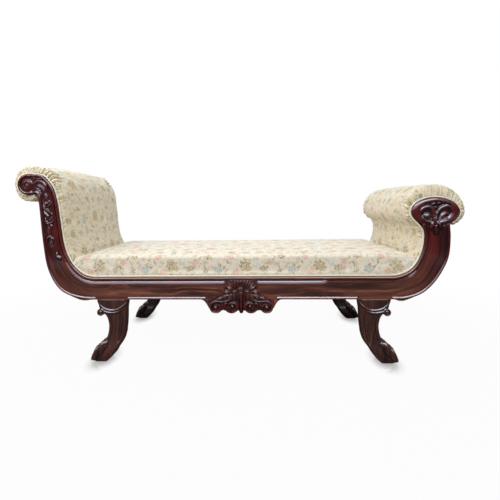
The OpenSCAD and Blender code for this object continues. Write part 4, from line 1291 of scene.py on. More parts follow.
@dataclass
class CarvedApron:
    """Apron board under the rail and the carving that covers it and the rail's middle."""

    half: float = 0.166
    drop: float = 0.058
    thickness: float = 0.03
    corner: float = 0.003
    lobes: tuple[Way, ...] = ((0.104, -0.031, 0.027), (0.04, -0.026, 0.032), (0.0, -0.0497, 0.0083))
    notch: Way = (0.0745, 0.0545, 0.0097)
    bead_from: Span = (0.112, 0.12)
    stain_rise: Span = (0.5, 0.36)
    shoulder: tuple[Place, ...] = ((1, 0), (0.96, 0.02), (0.9, 0.13), (0.845, 0.36), (0.8, 0.6), (0.62, 0.8),
                                   (0, 0.8))
    ground: tuple[Place, ...] = ((0, 0.0795), (0.06, 0.079), (0.0655, 0.06), (0.074, 0.042), (0.084, 0.028),
                                 (0.101, 0.014), (0.12, 0.003), (0.133, -0.007), (0.139, -0.018))
    right: tuple[Ridge, ...] = (
        *bosses((1045, -320, 92, 85), (355, -275, 80, 80), (625, -165, 72, 84)),
        *ridges(
            (((385, 70), (500, -10), (630, -70), (800, -85), (950, -60), (1110, -80), (1230, -190),
              (1255, -340), (1160, -480), (1010, -520), (880, -440), (860, -300), (950, -200)), 52, 85, 0.5,
              0.35),
            (((690, -230), (650, -400), (520, -520), (350, -545), (210, -470), (160, -330), (220, -190),
              (350, -120), (490, -170), (520, -300), (430, -390)), 52, 85, 0.5, 0.4),
            (((120, 170), (125, -60), (115, -260), (80, -480)), 34, 58, 0.3, 0.2),
            (((140, 310), (265, 345), (370, 290)), 46, 78),
            (((270, 260), (290, 110), (240, -20)), 80, 50, 0.6, 0.2, 0.5),
            (((400, 220), (440, 120), (560, 30)), 56, 58, 0.4, 0.2, 0.3),
            (((350, 400), (470, 490), (575, 530)), 62, 70, 0.4, 0.5, 0.35),
            (((420, 310), (570, 330), (700, 270)), 62, 70, 0.4, 0.4, 0.35),
            (((480, 190), (640, 160), (790, 60)), 56, 62, 0.4, 0.2, 0.35),
            (((640, 70), (850, 50), (1050, 0)), 46, 40, 0.4, 0.1, 0.3),
            (((90, 540), (110, 640), (130, 755)), 52, 60, 0.4, 0.4, 0.5),
            (((170, 500), (220, 630), (265, 760)), 58, 68, 0.4, 0.4, 0.5),
            (((240, 470), (320, 600), (395, 735)), 56, 64, 0.4, 0.4, 0.5),
            (((310, 450), (420, 570), (535, 700)), 58, 68, 0.4, 0.5, 0.45),
        ),
    )
    centre: tuple[Ridge, ...] = ridges(
        (((0, 265), (0, 100), (0, -200), (0, -520)), 74, 94, 0.95, 0.35, 0.25),
        (((-85, 190), (0, 290), (85, 190)), 46, 98, 0.4, 0.4),
        (((-145, 390), (-20, 475), (105, 390)), 46, 90),
        (((-10, 410), (-10, 330)), 85, 60, 0.7, 0.5, 0.3),
        (((0, 560), (0, 780)), 58, 68, 0.4, 0.4, 0.5),
    )

    def both_halves(self) -> tuple[Ridge, ...]:
        """The whole carving: the right half, its mirror image and the middle."""
        left = tuple(replace(ridge, course=tuple((-x, z) for x, z in ridge.course)) for ridge in self.right)
        return self.right + left + self.centre

    def bottom(self, x: Points) -> Points:
        """Depth of the board's lower outline below the rail.

        Args:
            x: Distances from its middle.

        Returns:
            A depth for each.
        """
        out = np.abs(x)
        shares = np.array(self.shoulder)[::-1]
        depth = self.drop * np.interp(out / self.half, shares[:, 0], shares[:, 1])
        for centre, middle, radius in self.lobes:
            inside = np.clip(radius ** 2 - (out - centre) ** 2, 0, None)
            depth = np.where(inside > 0, np.maximum(depth, np.sqrt(inside) - middle), depth)
        centre, middle, radius = self.notch
        inside = np.clip(radius ** 2 - (out - centre) ** 2, 0, None)
        return np.where(inside > 0, np.minimum(depth, middle - np.sqrt(inside)), depth)

    def board(self) -> Piece:
        """The board with rounded lower corners and a bead along its shoulders.

        Returns:
            The closed board.
        """
        x = np.linspace(-0.995 * self.half, 0.995 * self.half, 300)
        rows = np.linspace(0, 1, 40)
        depth = self.bottom(x)
        z = SIZES.rail_bottom - depth[:, None] * rows
        inward = depth[:, None] * (1 - rows) / np.sqrt(1 + np.gradient(depth, x) ** 2)[:, None]
        shoulder = smoothstep(*self.bead_from, np.abs(x))[:, None]
        bead = SIZES.relief * half_round(inward, 0.0, SIZES.outer_bead) * shoulder
        bead -= self.corner * (1 - np.clip(inward / self.corner, 0, 1)) ** 2 * (1 - shoulder)
        wide = np.tile(SIZES.apron_x + x[:, None], (1, len(rows)))
        front = np.stack([wide, -SIZES.field_y - bead, z], axis=2)
        back = front[:, [-1, 0]].copy()
        back[..., 1] = -(SIZES.field_y - self.thickness)
        rings = np.concatenate([front, back, front[:, :1]], axis=1)
        return loft("front_apron_board", rings, rings[..., [0, 2]])

    def shell(self) -> Piece:
        """The carving as one relief over board and rail.

        Returns:
            The closed relief.
        """
        reach = self.ground[-1][0]
        x = np.linspace(-reach, reach, 250)
        top = np.interp(np.abs(x), *np.array(self.ground).T)
        low = -self.bottom(x) + 0.0012
        z = top[:, None] + (low - top)[:, None] * np.linspace(0, 1, 116)
        wide = np.tile(x[:, None], (1, z.shape[1]))
        edge = np.minimum(np.minimum(top[:, None] - z, z - low[:, None]), reach - np.abs(wide))
        height = carved(self.both_halves(), wide, z) * np.clip(edge / 0.003, 0, 1) ** 0.5
        height += 0.0007 * np.clip(edge / 0.004, 0, 1) - 0.0004
        front = np.stack([SIZES.apron_x + wide, -SIZES.field_y - height, SIZES.rail_bottom + z], axis=2)
        back = front[:, [-1, 0]].copy()
        back[..., 1] = -(SIZES.field_y - 0.004)
        rings = np.concatenate([front, back, front[:, :1]], axis=1)
        return loft("front_apron_relief", rings, rings[..., [0, 2]])

    def build(self) -> None:
        """Builds both pieces at the front and mirrors them to the back."""
        for piece, solid in ((self.board(), "apron"), (self.shell(), "apron_carving")):
            shade(piece, 50)
            mark_crests(piece, 0.003)
            if solid == "apron_carving":
                below = smoothstep(-0.02, 0.01, SIZES.rail_bottom - get_points(piece)[:, 2])
                store(piece, "stain", self.stain_rise[0] + self.stain_rise[1] * below)
            dress(piece, "rosewood-piece")
            on_both_faces(piece, "rosewood", "{}_" + solid)


@dataclass
class SabreLeg:
    """Sabre leg with a beaded shield at its top and a lion's paw, copied to the four corners."""

    height: float = 0.252
    thickness: float = 0.044
    inner_edges: Way = (0.067, 0.0575, -0.019)
    outer_edges: Way = (0.067, 0.0155, 0.069)
    paw_w: float = 0.088
    paw_share: float = 0.84
    toe_places: tuple[float, ...] = (-0.75, -0.26, 0.26, 0.75)
    toe_rows: tuple[Row, ...] = (
        (0.022, 0.061, 0.018, 0.0048), (0.034, 0.057, 0.0255, 0.0084), (0.046, 0.05, 0.0285, 0.0108),
        (0.056, 0.043, 0.0245, 0.0086), (0.063, 0.037, 0.0245, 0.0092), (0.072, 0.03, 0.0262, 0.0112),
        (0.079, 0.023, 0.0205, 0.01), (0.085, 0.016, 0.012, 0.0064))
    claw_rows: tuple[Way, ...] = (
        (0.074, 0.034, 0.005), (0.083, 0.031, 0.0064), (0.0885, 0.022, 0.0056), (0.0905, 0.01, 0.0036),
        (0.089, 0.002, 0.0012))
    lock_rows: tuple[Place, ...] = ((-0.006, 0.1), (-0.022, 0.082), (-0.04, 0.063), (-0.054, 0.046))
    knob_place: Way = (-0.0475, 0, 0.199)
    knob_radius: float = 0.015
    knob_rows: tuple[Place, ...] = ((0.0028, 0.0014), (0.004, -0.0028), (0.003, 0.003))
    voxel: float = 0.0017
    rows: tuple[Row, ...] = (
        (1, 0, 0, 0), (0.93, 0.14, 0.04, 0), (0.86, 0.43, 0.19, 0), (0.79, 0.57, 0.46, 0),
        (0.71, 0.71, 0.8, 0), (0.63, 0.86, 0.94, 0), (0.56, 1, 1, 0), (0.45, 1.05, 1.06, 0.03),
        (0.35, 1.15, 1.23, 0.15), (0.27, 1.29, 1.55, 0.4), (0.18, 1.51, 1.77, 0.75),
        (0.08, 1.72, 1.92, 0.95), (0, 2, 2, 0.85))
    lappet: tuple[Ridge, ...] = ridges(
        (((-640, 2480), (-590, 2380), (-455, 2252), (-329, 2148), (-160, 2086), (50, 2065), (263, 2107),
          (476, 2252), (590, 2370), (640, 2490)), 36, 28, 0.6, 0.6),
        (((-580, 2200), (-520, 2148), (-370, 2044), (-204, 1982), (7, 1965), (200, 1990), (380, 2080),
          (520, 2190)), 34, 26, 0.6, 0.2),
    )
    lappet_bottom: float = 0.199
    lappet_least: float = 0.0012
    flute_top: Span = (0.215, 0.195)
    flute_foot: Span = (0.06, 0.09)
    flutes: tuple[tuple[bool, float, float, float], ...] = (
        (True, 0.013, 0.005, 0.003), (True, 0.0215, 0.003, 0.0021), (False, 0.015, 0.004, 0.0014))

    def section(self, left: float, right: float, deep: float, corner: float, z: float) -> Points:
        """Outline of the leg at one height, with the shield's lines and the flutes below it.

        Args:
            left: X of its left side.
            right: X of its right side.
            deep: Half its thickness.
            corner: Radius of its corners.
            z: The height.

        Returns:
            Its places, one a row, from the front's left end round and back.
        """
        quarter = np.linspace(0, np.pi / 2, 17)
        sin, cos = np.sin(quarter), np.cos(quarter)
        west, east, rear = left + corner, right - corner, deep - corner
        flat = np.linspace(west, east, 46)
        lift = carved(self.lappet, flat, np.full(46, z))
        lift = np.maximum(lift, self.lappet_least * (z > self.lappet_bottom) * (lift > 0))
        down = smoothstep(*self.flute_top, z) * smoothstep(*self.flute_foot, z)
        for from_inner, start, width, depth in self.flutes:
            lift -= down * depth * half_round(right - flat if from_inner else flat - left, start, width)
        ne, nw = (corner + carved(self.lappet, x, np.full(17, z))
                  for x in (east + corner * sin, west - corner * cos))
        outline = np.vstack([np.column_stack(side) for side in (
            (flat, -deep - lift), (east + (ne * sin)[1:], -rear - (ne * cos)[1:]),
            (east + corner * cos, rear + corner * sin), (west - corner * sin, rear + corner * cos),
            (west - nw * cos, -rear - nw * sin))])
        return np.column_stack([outline, np.full(len(outline), z)])

    def shaft(self) -> Piece:
        """The leg from the rail down into the paw, pointing to -X, with its shield and side mouldings.

        Returns:
            The closed shaft.
        """
        row = smooth_rows(np.array(self.rows, float), np.linspace(0, len(self.rows) - 1, 190))
        right = np.interp(row[:, 1], [0, 1, 2], self.inner_edges)
        left = -np.interp(row[:, 2], [0, 1, 2], self.outer_edges)
        swell = (self.paw_share * self.paw_w - self.thickness) / 2
        deep = self.thickness / 2 + np.clip(row[:, 3], 0, None) * swell
        corner = np.minimum(0.16 * (right - left), 0.9 * deep)
        sizes = zip(left, right, deep, corner, row[:, 0] * self.height)
        return loft("shaft", np.array([self.section(*size) for size in sizes]))

    def toe(self, place: float) -> list[Piece]:
        """One toe with its knuckle, and the claw that curves down from it.

        Args:
            place: Its place across the paw, from -1 to 1.

        Returns:
            The toe and the claw.
        """
        turn = np.linspace(0, 2 * np.pi, 21)
        short = 1 - 0.1 * abs(place)

        def across(out: float) -> float:
            """How far to the side the toe lies at a distance from the leg's centre."""
            return place * self.paw_w / 2 * (0.72 + 3.1 * out)

        row = smooth_rows(np.array(self.toe_rows), np.linspace(0, len(self.toe_rows) - 1, 32))
        claw = smooth_rows(np.array(self.claw_rows), np.linspace(0, len(self.claw_rows) - 1, 16))
        toe = np.stack([np.stack([np.full(21, -out * short), across(out) + half * np.cos(turn),
                                  z + tall * np.sin(turn)], axis=1) for out, z, tall, half in row])
        claws = np.stack([np.stack([-out * short + 0.35 * size * np.sin(turn),
                                    across(out) + size * np.cos(turn), z + size * np.sin(turn)], axis=1)
                          for out, z, size in claw])
        for rings in (toe, claws):
            rings[..., 2] = np.maximum(rings[..., 2], 0.0)
        return [loft("toe", toe), loft("claw", claws)]

    def lock(self, side: float) -> Piece:
        """One lock of hair that falls from the ankle over the toes.

        Args:
            side: Its place across the paw, from -1 to 1.

        Returns:
            The lock.
        """
        turn = np.linspace(0, 2 * np.pi, 13)
        share = np.linspace(0, 1, 12)
        line = smooth_rows(np.array(self.lock_rows), 3 * share)
        size = np.interp(share, [0, 0.4, 1], [0.002, 0.0062, 0.001])
        spread = side * (0.018 + 0.02 * share)
        return loft("lock", np.stack([np.stack([
            x + 0.003 * abs(side) + 0.5 * radius * np.sin(turn), y + radius * np.cos(turn),
            z + radius * np.sin(turn)], axis=1) for (x, z), y, radius in zip(line, spread, size)]))

    def knob(self) -> Piece:
        """The small scroll on the leg's outer side.

        Returns:
            The closed scroll.
        """
        bpy.ops.mesh.primitive_cylinder_add(
            vertices=40, radius=self.knob_radius, depth=self.thickness + 0.0035, location=self.knob_place,
            rotation=(math.pi / 2, 0, 0))
        piece = bpy.context.object
        bpy.ops.object.transform_apply(location=True, rotation=True, scale=True)
        for inset, push in self.knob_rows:
            choose_faces(piece, [len(face.vertices) == 40 for face in piece.data.polygons])
            bpy.ops.mesh.inset(thickness=inset, depth=push)
            bpy.ops.object.mode_set(mode="OBJECT")
        return piece

    def model(self) -> Piece:
        """One whole leg round its own centre line, pointing to -X, as a single skin.

        Returns:
            The leg.
        """
        parts = [self.shaft(), self.knob(), *(self.lock(side) for side in np.linspace(-0.8, 0.8, 7))]
        for place in self.toe_places:
            parts += self.toe(place)
        leg = join(parts, "leg")
        finish_modifier(leg, "REMESH", mode="VOXEL", voxel_size=self.voxel)
        finish_modifier(leg, "SMOOTH", factor=0.5, iterations=2)
        points = get_points(leg)
        points[:, 2] = np.clip(points[:, 2], 0, None)
        put_points(leg, points)
        turn_outwards(leg, 1e-6, close=False)
        return leg

    def build(self) -> None:
        """Models one leg and sets a copy at each corner."""
        leg = self.model()
        shade(leg, 60)
        mark_crests(leg, 0.004)
        dress(leg, "rosewood-z")
        for end, centre in ((End.HEAD, SIZES.head_leg_x), (End.FOOT, SIZES.foot_leg_x)):
            for face in Face:
                name = f"{end.name.lower()}_{face.name.lower()}"
                away = face.value * (SIZES.field_y - self.thickness / 2)
                copy = own_copy(leg, f"{name}_sabre_leg", (-end.value, -face.value, 1), (centre, away, 0))
                stand_for(copy, "rosewood", f"{name}_leg")
        bpy.data.objects.remove(leg)


# Upholstery


@dataclass(frozen=True)
class Gathers:
    """Creases that run in from a pad's borders: places along the pad, widths, depths, lengths and leans."""

    places: Points
    widths: Points
    depths: Points
    lengths: Points
    leans: Points
    reach: float = 0.02
    flare: float = 18
    swell: float = 0.28

    @staticmethod
    def scattered(seed: int, *spans: tuple[float, float, float, float, float]) -> "Gathers":
        """Scatters creases over stretches of a pad.

        Args:
            seed: Seed of the random draws.
            *spans: Stretches as start, stop, spacing, depth and length in metres.

        Returns:
            The creases.
        """
        draw = np.random.default_rng(seed)
        rows = []
        for start, stop, spacing, depth, length in spans:
            place = start
            while place < stop:
                rows.append((place, draw.uniform(0.0021, 0.0038), depth * draw.uniform(0.55, 1.1),
                             length * draw.uniform(0.65, 1.3), draw.uniform(-0.22, 0.22)))
                place += spacing * draw.uniform(0.7, 1.35)
        return Gathers(*np.array(rows).T)

    def depth_at(self, along: Points, away: Points) -> Points:
        """How far the creases draw the cloth in, less how far it swells between them.

        Args:
            along: Places along the pad.
            away: Distances from its nearer border.

        Returns:
            A depth for each place.
        """
        drawn = np.zeros(len(along))
        creases = zip(self.places, self.widths, self.depths, self.lengths, self.leans)
        for place, width, depth, length, lean in creases:
            near = np.abs(along - place) < self.reach
            spread = width * (1 + self.flare * away[near])
            aside = along[near] - place - lean * away[near]
            valley = np.exp(-(aside / spread) ** 2)
            ridge = np.exp(-(aside / (2.6 * spread)) ** 2)
            drawn[near] += depth * (valley - self.swell * ridge) * np.exp(-(away[near] / length) ** 2)
        return drawn * np.clip(away / 0.005, 0, 1)


COVER_CLOTH = dict(quality=4, mass=0.25, tension_stiffness=20, compression_stiffness=20, shear_stiffness=8,
                   bending_stiffness=0.6, use_pressure=True)
CLOTH_FRAMES = 18


def stuff(piece: Piece, held: Points, pressure: float, slack: float, cap: float) -> None:
    """Fills a pad as a cloth simulation would: its border is held, its cover swells and finds its own folds.

    Args:
        piece: The pad.
        held: How firmly each vertex is held, from 0 to 1.
        pressure: Pressure of the filling.
        slack: Share by which the cover is cut larger than the form.
        cap: Distance in metres that no point passes.
    """
    rest = get_points(piece)
    border = piece.vertex_groups.new(name="Border")
    for strength in (1.0, 0.5):
        chosen = np.flatnonzero(np.abs(held - strength) < 0.26)
        border.add([int(index) for index in chosen], strength, "REPLACE")
    pick(piece)
    cloth = piece.modifiers.new("Cloth", "CLOTH")
    for name, value in dict(COVER_CLOTH, uniform_pressure_force=pressure, vertex_group_mass=border.name,
                            shrink_min=-slack).items():
        setattr(cloth.settings, name, value)
    cloth.settings.effector_weights.gravity = 0
    cloth.collision_settings.use_collision = False
    cloth.point_cache.frame_start, cloth.point_cache.frame_end = 1, CLOTH_FRAMES
    for number in range(1, CLOTH_FRAMES + 1):
        bpy.context.scene.frame_set(number)
    bpy.ops.object.modifier_apply(modifier=cloth.name)
    bpy.context.scene.frame_set(1)
    moved = get_points(piece) - rest
    length = np.maximum(np.linalg.norm(moved, axis=1), 1e-9)
    put_points(piece, rest + moved * (cap * np.tanh(length / cap) / length)[:, None])
    piece.vertex_groups.clear()
    log.info("%s: cloth moved %.1f mm at most", piece.name, 1000 * min(length.max(), cap))


def subdivide(piece: Piece) -> None:
    """Makes a piece's mesh twice as fine and smooth."""
    finish_modifier(piece, "SUBSURF", levels=1, render_levels=1)


def across_depth(edge: float, shoulder: float, middle: int, fine: int) -> tuple[Points, Points]:
    """Stations across a pad, from its front border to its back border.

    Args:
        edge: Distance of the borders from the middle plane.
        shoulder: Depth of the rounded shoulders.
        middle: Number of stations on the flat part.
        fine: Number of stations on a shoulder.

    Returns:
        Their Y, and the share of the full thickness that the shoulders leave.
    """
    turn = np.linspace(0, np.pi / 2, fine)
    y = -(edge - shoulder * (1 - np.cos(turn)))
    lift = np.sin(turn) ** 0.7
    inner = edge - shoulder
    share = np.linspace(-1, 1, middle + 2)[1:-1]
    flat = inner * np.sign(share) * (1 - (1 - np.abs(share)) ** 1.5)
    return np.concatenate([y, flat, -y[::-1]]), np.concatenate([lift, np.ones(middle), lift[::-1]])


@dataclass
class RolledPad:
    """Padding up the inner face of an arm and round its scroll, gathered at its front and back borders."""

    course: ArmCourse
    seam: float
    last: float
    scroll_reach: Span
    angles: Span
    thickness: float
    top: float
    side: float
    inner: float
    under: float
    shoulder: float
    gap: float = 0.0003
    edge_fullness: float = 0.96
    arm_points: int = 60
    unevenness: float = 0.0022

    def under_and_over(self) -> tuple[Points, Points]:
        """Lines under and over the pad, up the arm and round its scroll.

        Returns:
            Places on the frame under the pad's middle, and the pad's full surface over them.
        """
        ts = np.linspace(self.seam, self.last, self.arm_points)
        share = (ts - self.seam) / max(self.last + 1 - self.seam, 1)
        around = circle(np.radians(np.linspace(*self.angles, 110)))
        reach = np.array(self.scroll_reach)
        if self.course.end is End.HEAD:
            arm_thick = self.thickness + share ** 2 * (self.top - self.thickness)
            upright = np.where(around[:, 1] > 0, self.top, self.under)
            swell = (self.side + (upright - self.side) * around[:, 1] ** 2)[:, None]
        else:
            arm_thick = self.thickness
            aside = self.inner + (self.side - self.inner) * smoothstep(-0.25, 0.25, around[:, 0])
            above = self.under + (self.top - self.under) * smoothstep(-0.3, 0.3, around[:, 1])
            swell = np.stack([aside, above], axis=1)
        scroll = np.array(self.course.scroll)
        low, high = (np.vstack([self.course.inner_edge(ts, lift), scroll + (reach + out) * around])
                     for lift, out in ((self.gap, self.gap), (arm_thick, swell)))
        return low, high

    def build(self, gathers: Gathers, stations: int, seed: int) -> None:
        """Builds the pad.

        Args:
            gathers: The creases at its borders.
            stations: Number of stations along it.
            seed: Seed of the slight unevenness of its filling.
        """
        low, high = self.under_and_over()
        along = path_lengths(high)
        wanted = np.linspace(0, along[-1], stations)
        low, high = read_along(low, along, wanted), read_along(high, along, wanted)
        y, lift = across_depth(SIZES.border_y + 0.001, self.shoulder, 30, 12)
        full = lift * (1 - (1 - self.edge_fullness) * (y / SIZES.border_y) ** 2)
        under_y = np.linspace(y[-1], y[0], 12)
        xz = np.concatenate([low[:, None] + full[None, :, None] * softened(high - low, 12)[:, None],
                             np.repeat(low[:, None], len(under_y), axis=1)], axis=1)
        ys = np.tile(np.concatenate([y, under_y]), (stations, 1))
        rings = np.stack([xz[..., 0], ys, xz[..., 1]], axis=2)
        section = path_lengths(rings[stations // 3])
        uvs = np.stack([np.tile(section, (stations, 1)), np.tile(wanted[:, None], (1, len(section)))], axis=2)
        piece = lay_grid(f"{self.course.end.name.lower()}_padding", rings, uvs)
        across = np.concatenate([section[:len(y)], np.zeros(len(under_y))])
        away = np.minimum(across, section[len(y) - 1] - across)
        away[len(y):] = 0
        store(piece, "along", np.tile(wanted[:, None], (1, len(section))))
        store(piece, "away", np.tile(away, (stations, 1)))
        turn_outwards(piece)
        away, run = take_back(piece, "away"), take_back(piece, "along")
        ends = np.minimum(run, wanted[-1] - run)
        held = np.where((away < 0.008) | (ends < 0.01), 1.0, np.where(away < 0.02, 0.5, 0.0))
        stuff(piece, held, 3.5, 0.006, 0.007)
        store(piece, "along", run)
        store(piece, "away", away)
        subdivide(piece)
        away, run = take_back(piece, "away"), take_back(piece, "along")
        drawn = gathers.depth_at(run - along[self.arm_points - 1], away)
        draw = np.random.default_rng(seed)
        uneven = np.zeros(len(drawn))
        points = get_points(piece)
        for _ in range(9):
            direction = draw.normal(size=3)
            direction *= draw.uniform(14, 34) / np.linalg.norm(direction)
            uneven += np.sin(points @ direction + draw.uniform(0, 6.3)) / 9
        drawn -= self.unevenness * uneven * np.clip(away / 0.03, 0, 1)
        put_points(piece, points - vertex_normals(piece) * drawn[:, None])
        shade(piece, 70)
        dress(piece, "tapestry-arms-shaded")
        stand_for(piece, "tapestry", f"{self.course.end.name.lower()}_cushion")


@dataclass
class FixedSeat:
    """The stuffed seat, with a soft upper edge and a crowned top."""

    web_top: float = 0.347
    seat_crown: float = 0.013
    soft_edge: float = 0.013
    head_seam: float = 4.0
    foot_seam: float = 4.5
    head_pad: float = 0.026
    foot_pad: float = 0.019
    end_share: float = 0.6
    gap: float = 0.0003
    edge_y: float = SIZES.border_y + 0.001
    boxing_swell: float = 0.002
    crowding: float = 1.25
    turn_steps: int = 9
    boxing_steps: int = 13
    top_steps: int = 54
    print_start: Place = (-0.067, 0.372)
    stations: int = 176

    def lower_line(self) -> tuple[Points, Points, Points]:
        """Line in X and Z where the seat meets the arms and the webbing.

        Returns:
            Its evenly spread places, and the places where the seat's top starts and stops.
        """
        margin = self.soft_edge / 2
        head = HEAD_COURSE.inner_edge(np.linspace(self.head_seam, 1, 30), self.gap)
        foot = FOOT_COURSE.inner_edge(np.linspace(1, self.foot_seam, 30), self.gap)
        flat = np.array([(SIZES.head_joint_x + margin, self.web_top),
                         (SIZES.foot_joint_x - margin, self.web_top)])
        under = np.vstack([head, flat, foot])
        along = path_lengths(under)
        head_across = HEAD_COURSE.stations(np.array([self.head_seam]))[2][0]
        foot_across = FOOT_COURSE.stations(np.array([self.foot_seam]))[2][0]
        return (read_along(under, along, along[-1] * np.linspace(0, 1, self.stations)),
                head[0] + self.end_share * self.head_pad * head_across,
                foot[-1] + self.end_share * self.foot_pad * foot_across)

    def top_heights(self, x: Points, start: Points, stop: Points, y: Points) -> Points:
        """Height of the crowned top.

        Args:
            x: X of the stations.
            start: X and Z of the top's start.
            stop: X and Z of its stop.
            y: Distances from the middle plane.

        Returns:
            A row of heights for each station.
        """
        u = np.linspace(0, 1, self.stations)
        away = np.minimum(x - start[0], stop[0] - x) / (2 * self.soft_edge)
        rise = np.sin(np.pi / 2 * np.clip(away, 0, 1))
        end_z = np.where(u < 0.5, start[1], stop[1])
        crown = self.seat_crown * (1 - (2 * u - 1) ** 4)[:, None] * (1 - (y / SIZES.border_y) ** 2)
        return end_z[:, None] + (SIZES.seat_z + crown - end_z[:, None]) * rise[:, None]

    def rings(self) -> tuple[Points, int]:
        """Sections across the seat: its front, top, back and underside.

        Returns:
            One closed ring for each station, and the number of places on the front.
        """
        low, start, stop = self.lower_line()
        n = self.stations
        over_x = start[0] + np.linspace(0, 1, n) * (stop[0] - start[0])
        turn = np.linspace(0, np.pi / 2, self.turn_steps)
        boxing = np.linspace(0, 1, self.boxing_steps)
        inner = self.edge_y - self.soft_edge
        share = np.linspace(-1, 1, self.top_steps + 2)[1:-1]
        top_y = inner * np.sign(share) * (1 - (1 - np.abs(share)) ** self.crowding)
        high = np.column_stack([over_x, self.top_heights(over_x, start, stop, np.array([inner]))[:, 0]])
        reach = np.linalg.norm(high - low, axis=1)
        way = (high - low) / reach[:, None]
        radius = np.minimum(self.soft_edge, 0.5 * reach)
        body = low[:, None] + (boxing[None, :] * (reach - radius)[:, None])[..., None] * way[:, None]
        corner = high[:, None] - (radius[:, None] * (1 - np.sin(turn[1:])))[..., None] * way[:, None]
        front_xz = np.concatenate([body, corner], axis=1)
        front_y = np.concatenate([
            np.tile(self.edge_y + self.boxing_swell * np.sin(np.pi * boxing), (n, 1)),
            self.edge_y - radius[:, None] * (1 - np.cos(turn[1:]))], axis=1)
        top = np.stack([np.tile(over_x[:, None], (1, len(top_y))),
                        self.top_heights(over_x, start, stop, top_y)], axis=2)
        bottom_y = np.linspace(self.edge_y, -self.edge_y, 14)
        bottom = np.tile(low[:, None], (1, 14, 1))
        xz = np.concatenate([front_xz, top, front_xz[:, ::-1], bottom], axis=1)
        ys = np.concatenate([-front_y, np.tile(top_y, (n, 1)), front_y[:, ::-1], np.tile(bottom_y, (n, 1))],
                            axis=1)
        return np.stack([xz[..., 0], ys, xz[..., 1]], axis=2), front_xz.shape[1]

    def build(self) -> None:
        """Builds the seat, with its print laid out from the front border over the top."""
        rings, front_n = self.rings()
        v = np.tile(path_lengths(rings[self.stations // 2]) + self.web_top, (self.stations, 1))
        v[:, :front_n] = rings[:, :front_n, 2] + 0.4 * (self.edge_y + rings[:, :front_n, 1])
        v[:, front_n:] += (v[:, front_n - 1] - v[:, front_n] + 0.008)[:, None]
        uvs = np.stack([rings[..., 0], v], axis=2) - self.print_start
        piece = lay_grid("seat", rings, uvs)
        free = np.zeros(rings.shape[:2])
        free[2:-2, 3:2 * front_n + self.top_steps - 3] = 1
        store(piece, "free", free)
        turn_outwards(piece)
        stuff(piece, 1 - take_back(piece, "free"), 3.0, 0.004, 0.006)
        subdivide(piece)
        shade(piece, 70)
        dress(piece, "tapestry-seat")
        stand_for(piece, "tapestry", "seat_cushion")


def tube(name: str, line: Points, radius: float, sides: int = 12) -> Piece:
    """Round cord along a line in space, whose frame is carried along it without twist.

    Args:
        name: Name of the piece.
        line: Places on its middle, one a row.
        radius: Its radius.
        sides: Number of its sides.

    Returns:
        The cord with closed ends.
    """
    ahead = np.gradient(line, axis=0)
    ahead /= np.linalg.norm(ahead, axis=1)[:, None]
    side = np.tile([0.0, 1.0, 0.0], (len(line), 1))
    up = np.cross(ahead, side)
    up /= np.linalg.norm(up, axis=1)[:, None]
    side = np.cross(up, ahead)
    cos, sin = circle(np.linspace(0, 2 * np.pi, sides + 1)).T[:, None, :, None]
    return loft(name, line[:, None] + radius * (cos * side[:, None] + sin * up[:, None]))


@dataclass
class Piping:
    """Cord in the same cloth along the borders of the upholstery, from one scroll's end to the other."""

    diameter: float = 0.007
    gap: float = 0.0003
    head_last: float = 11.0
    foot_last: float = 8.0
    head_angles: Span = (262, 84)
    foot_angles: Span = (214, -48)

    def build(self) -> None:
        """Builds the front cord and mirrors it to the back."""
        lift = self.gap + self.diameter / 2
        turn = np.radians(np.linspace(*self.head_angles, 70))
        head_round = np.array(HEAD_COURSE.scroll) + (np.array(HEAD_SCROLL) + lift) * circle(turn)
        head_side = HEAD_COURSE.inner_edge(np.linspace(self.head_last - 0.25, 1, 120), lift)
        foot_side = FOOT_COURSE.inner_edge(np.linspace(1, self.foot_last - 0.15, 100), lift)
        turn = np.radians(np.linspace(*self.foot_angles, 110))
        foot_round = np.array(FOOT_COURSE.scroll) + (np.array(FOOT_SCROLL) + lift) * circle(turn)
        line = softened(evenly(np.vstack([head_round, head_side, foot_side, foot_round]), 900), 10)
        place = np.column_stack([line[:, 0], np.full(len(line), -SIZES.border_y - lift), line[:, 1]])
        front = tube("front_piping_cord", place, self.diameter / 2)
        shade(front, 70)
        dress(front, "piping-cloth")
        on_both_faces(front, "piping", "{}_piping")


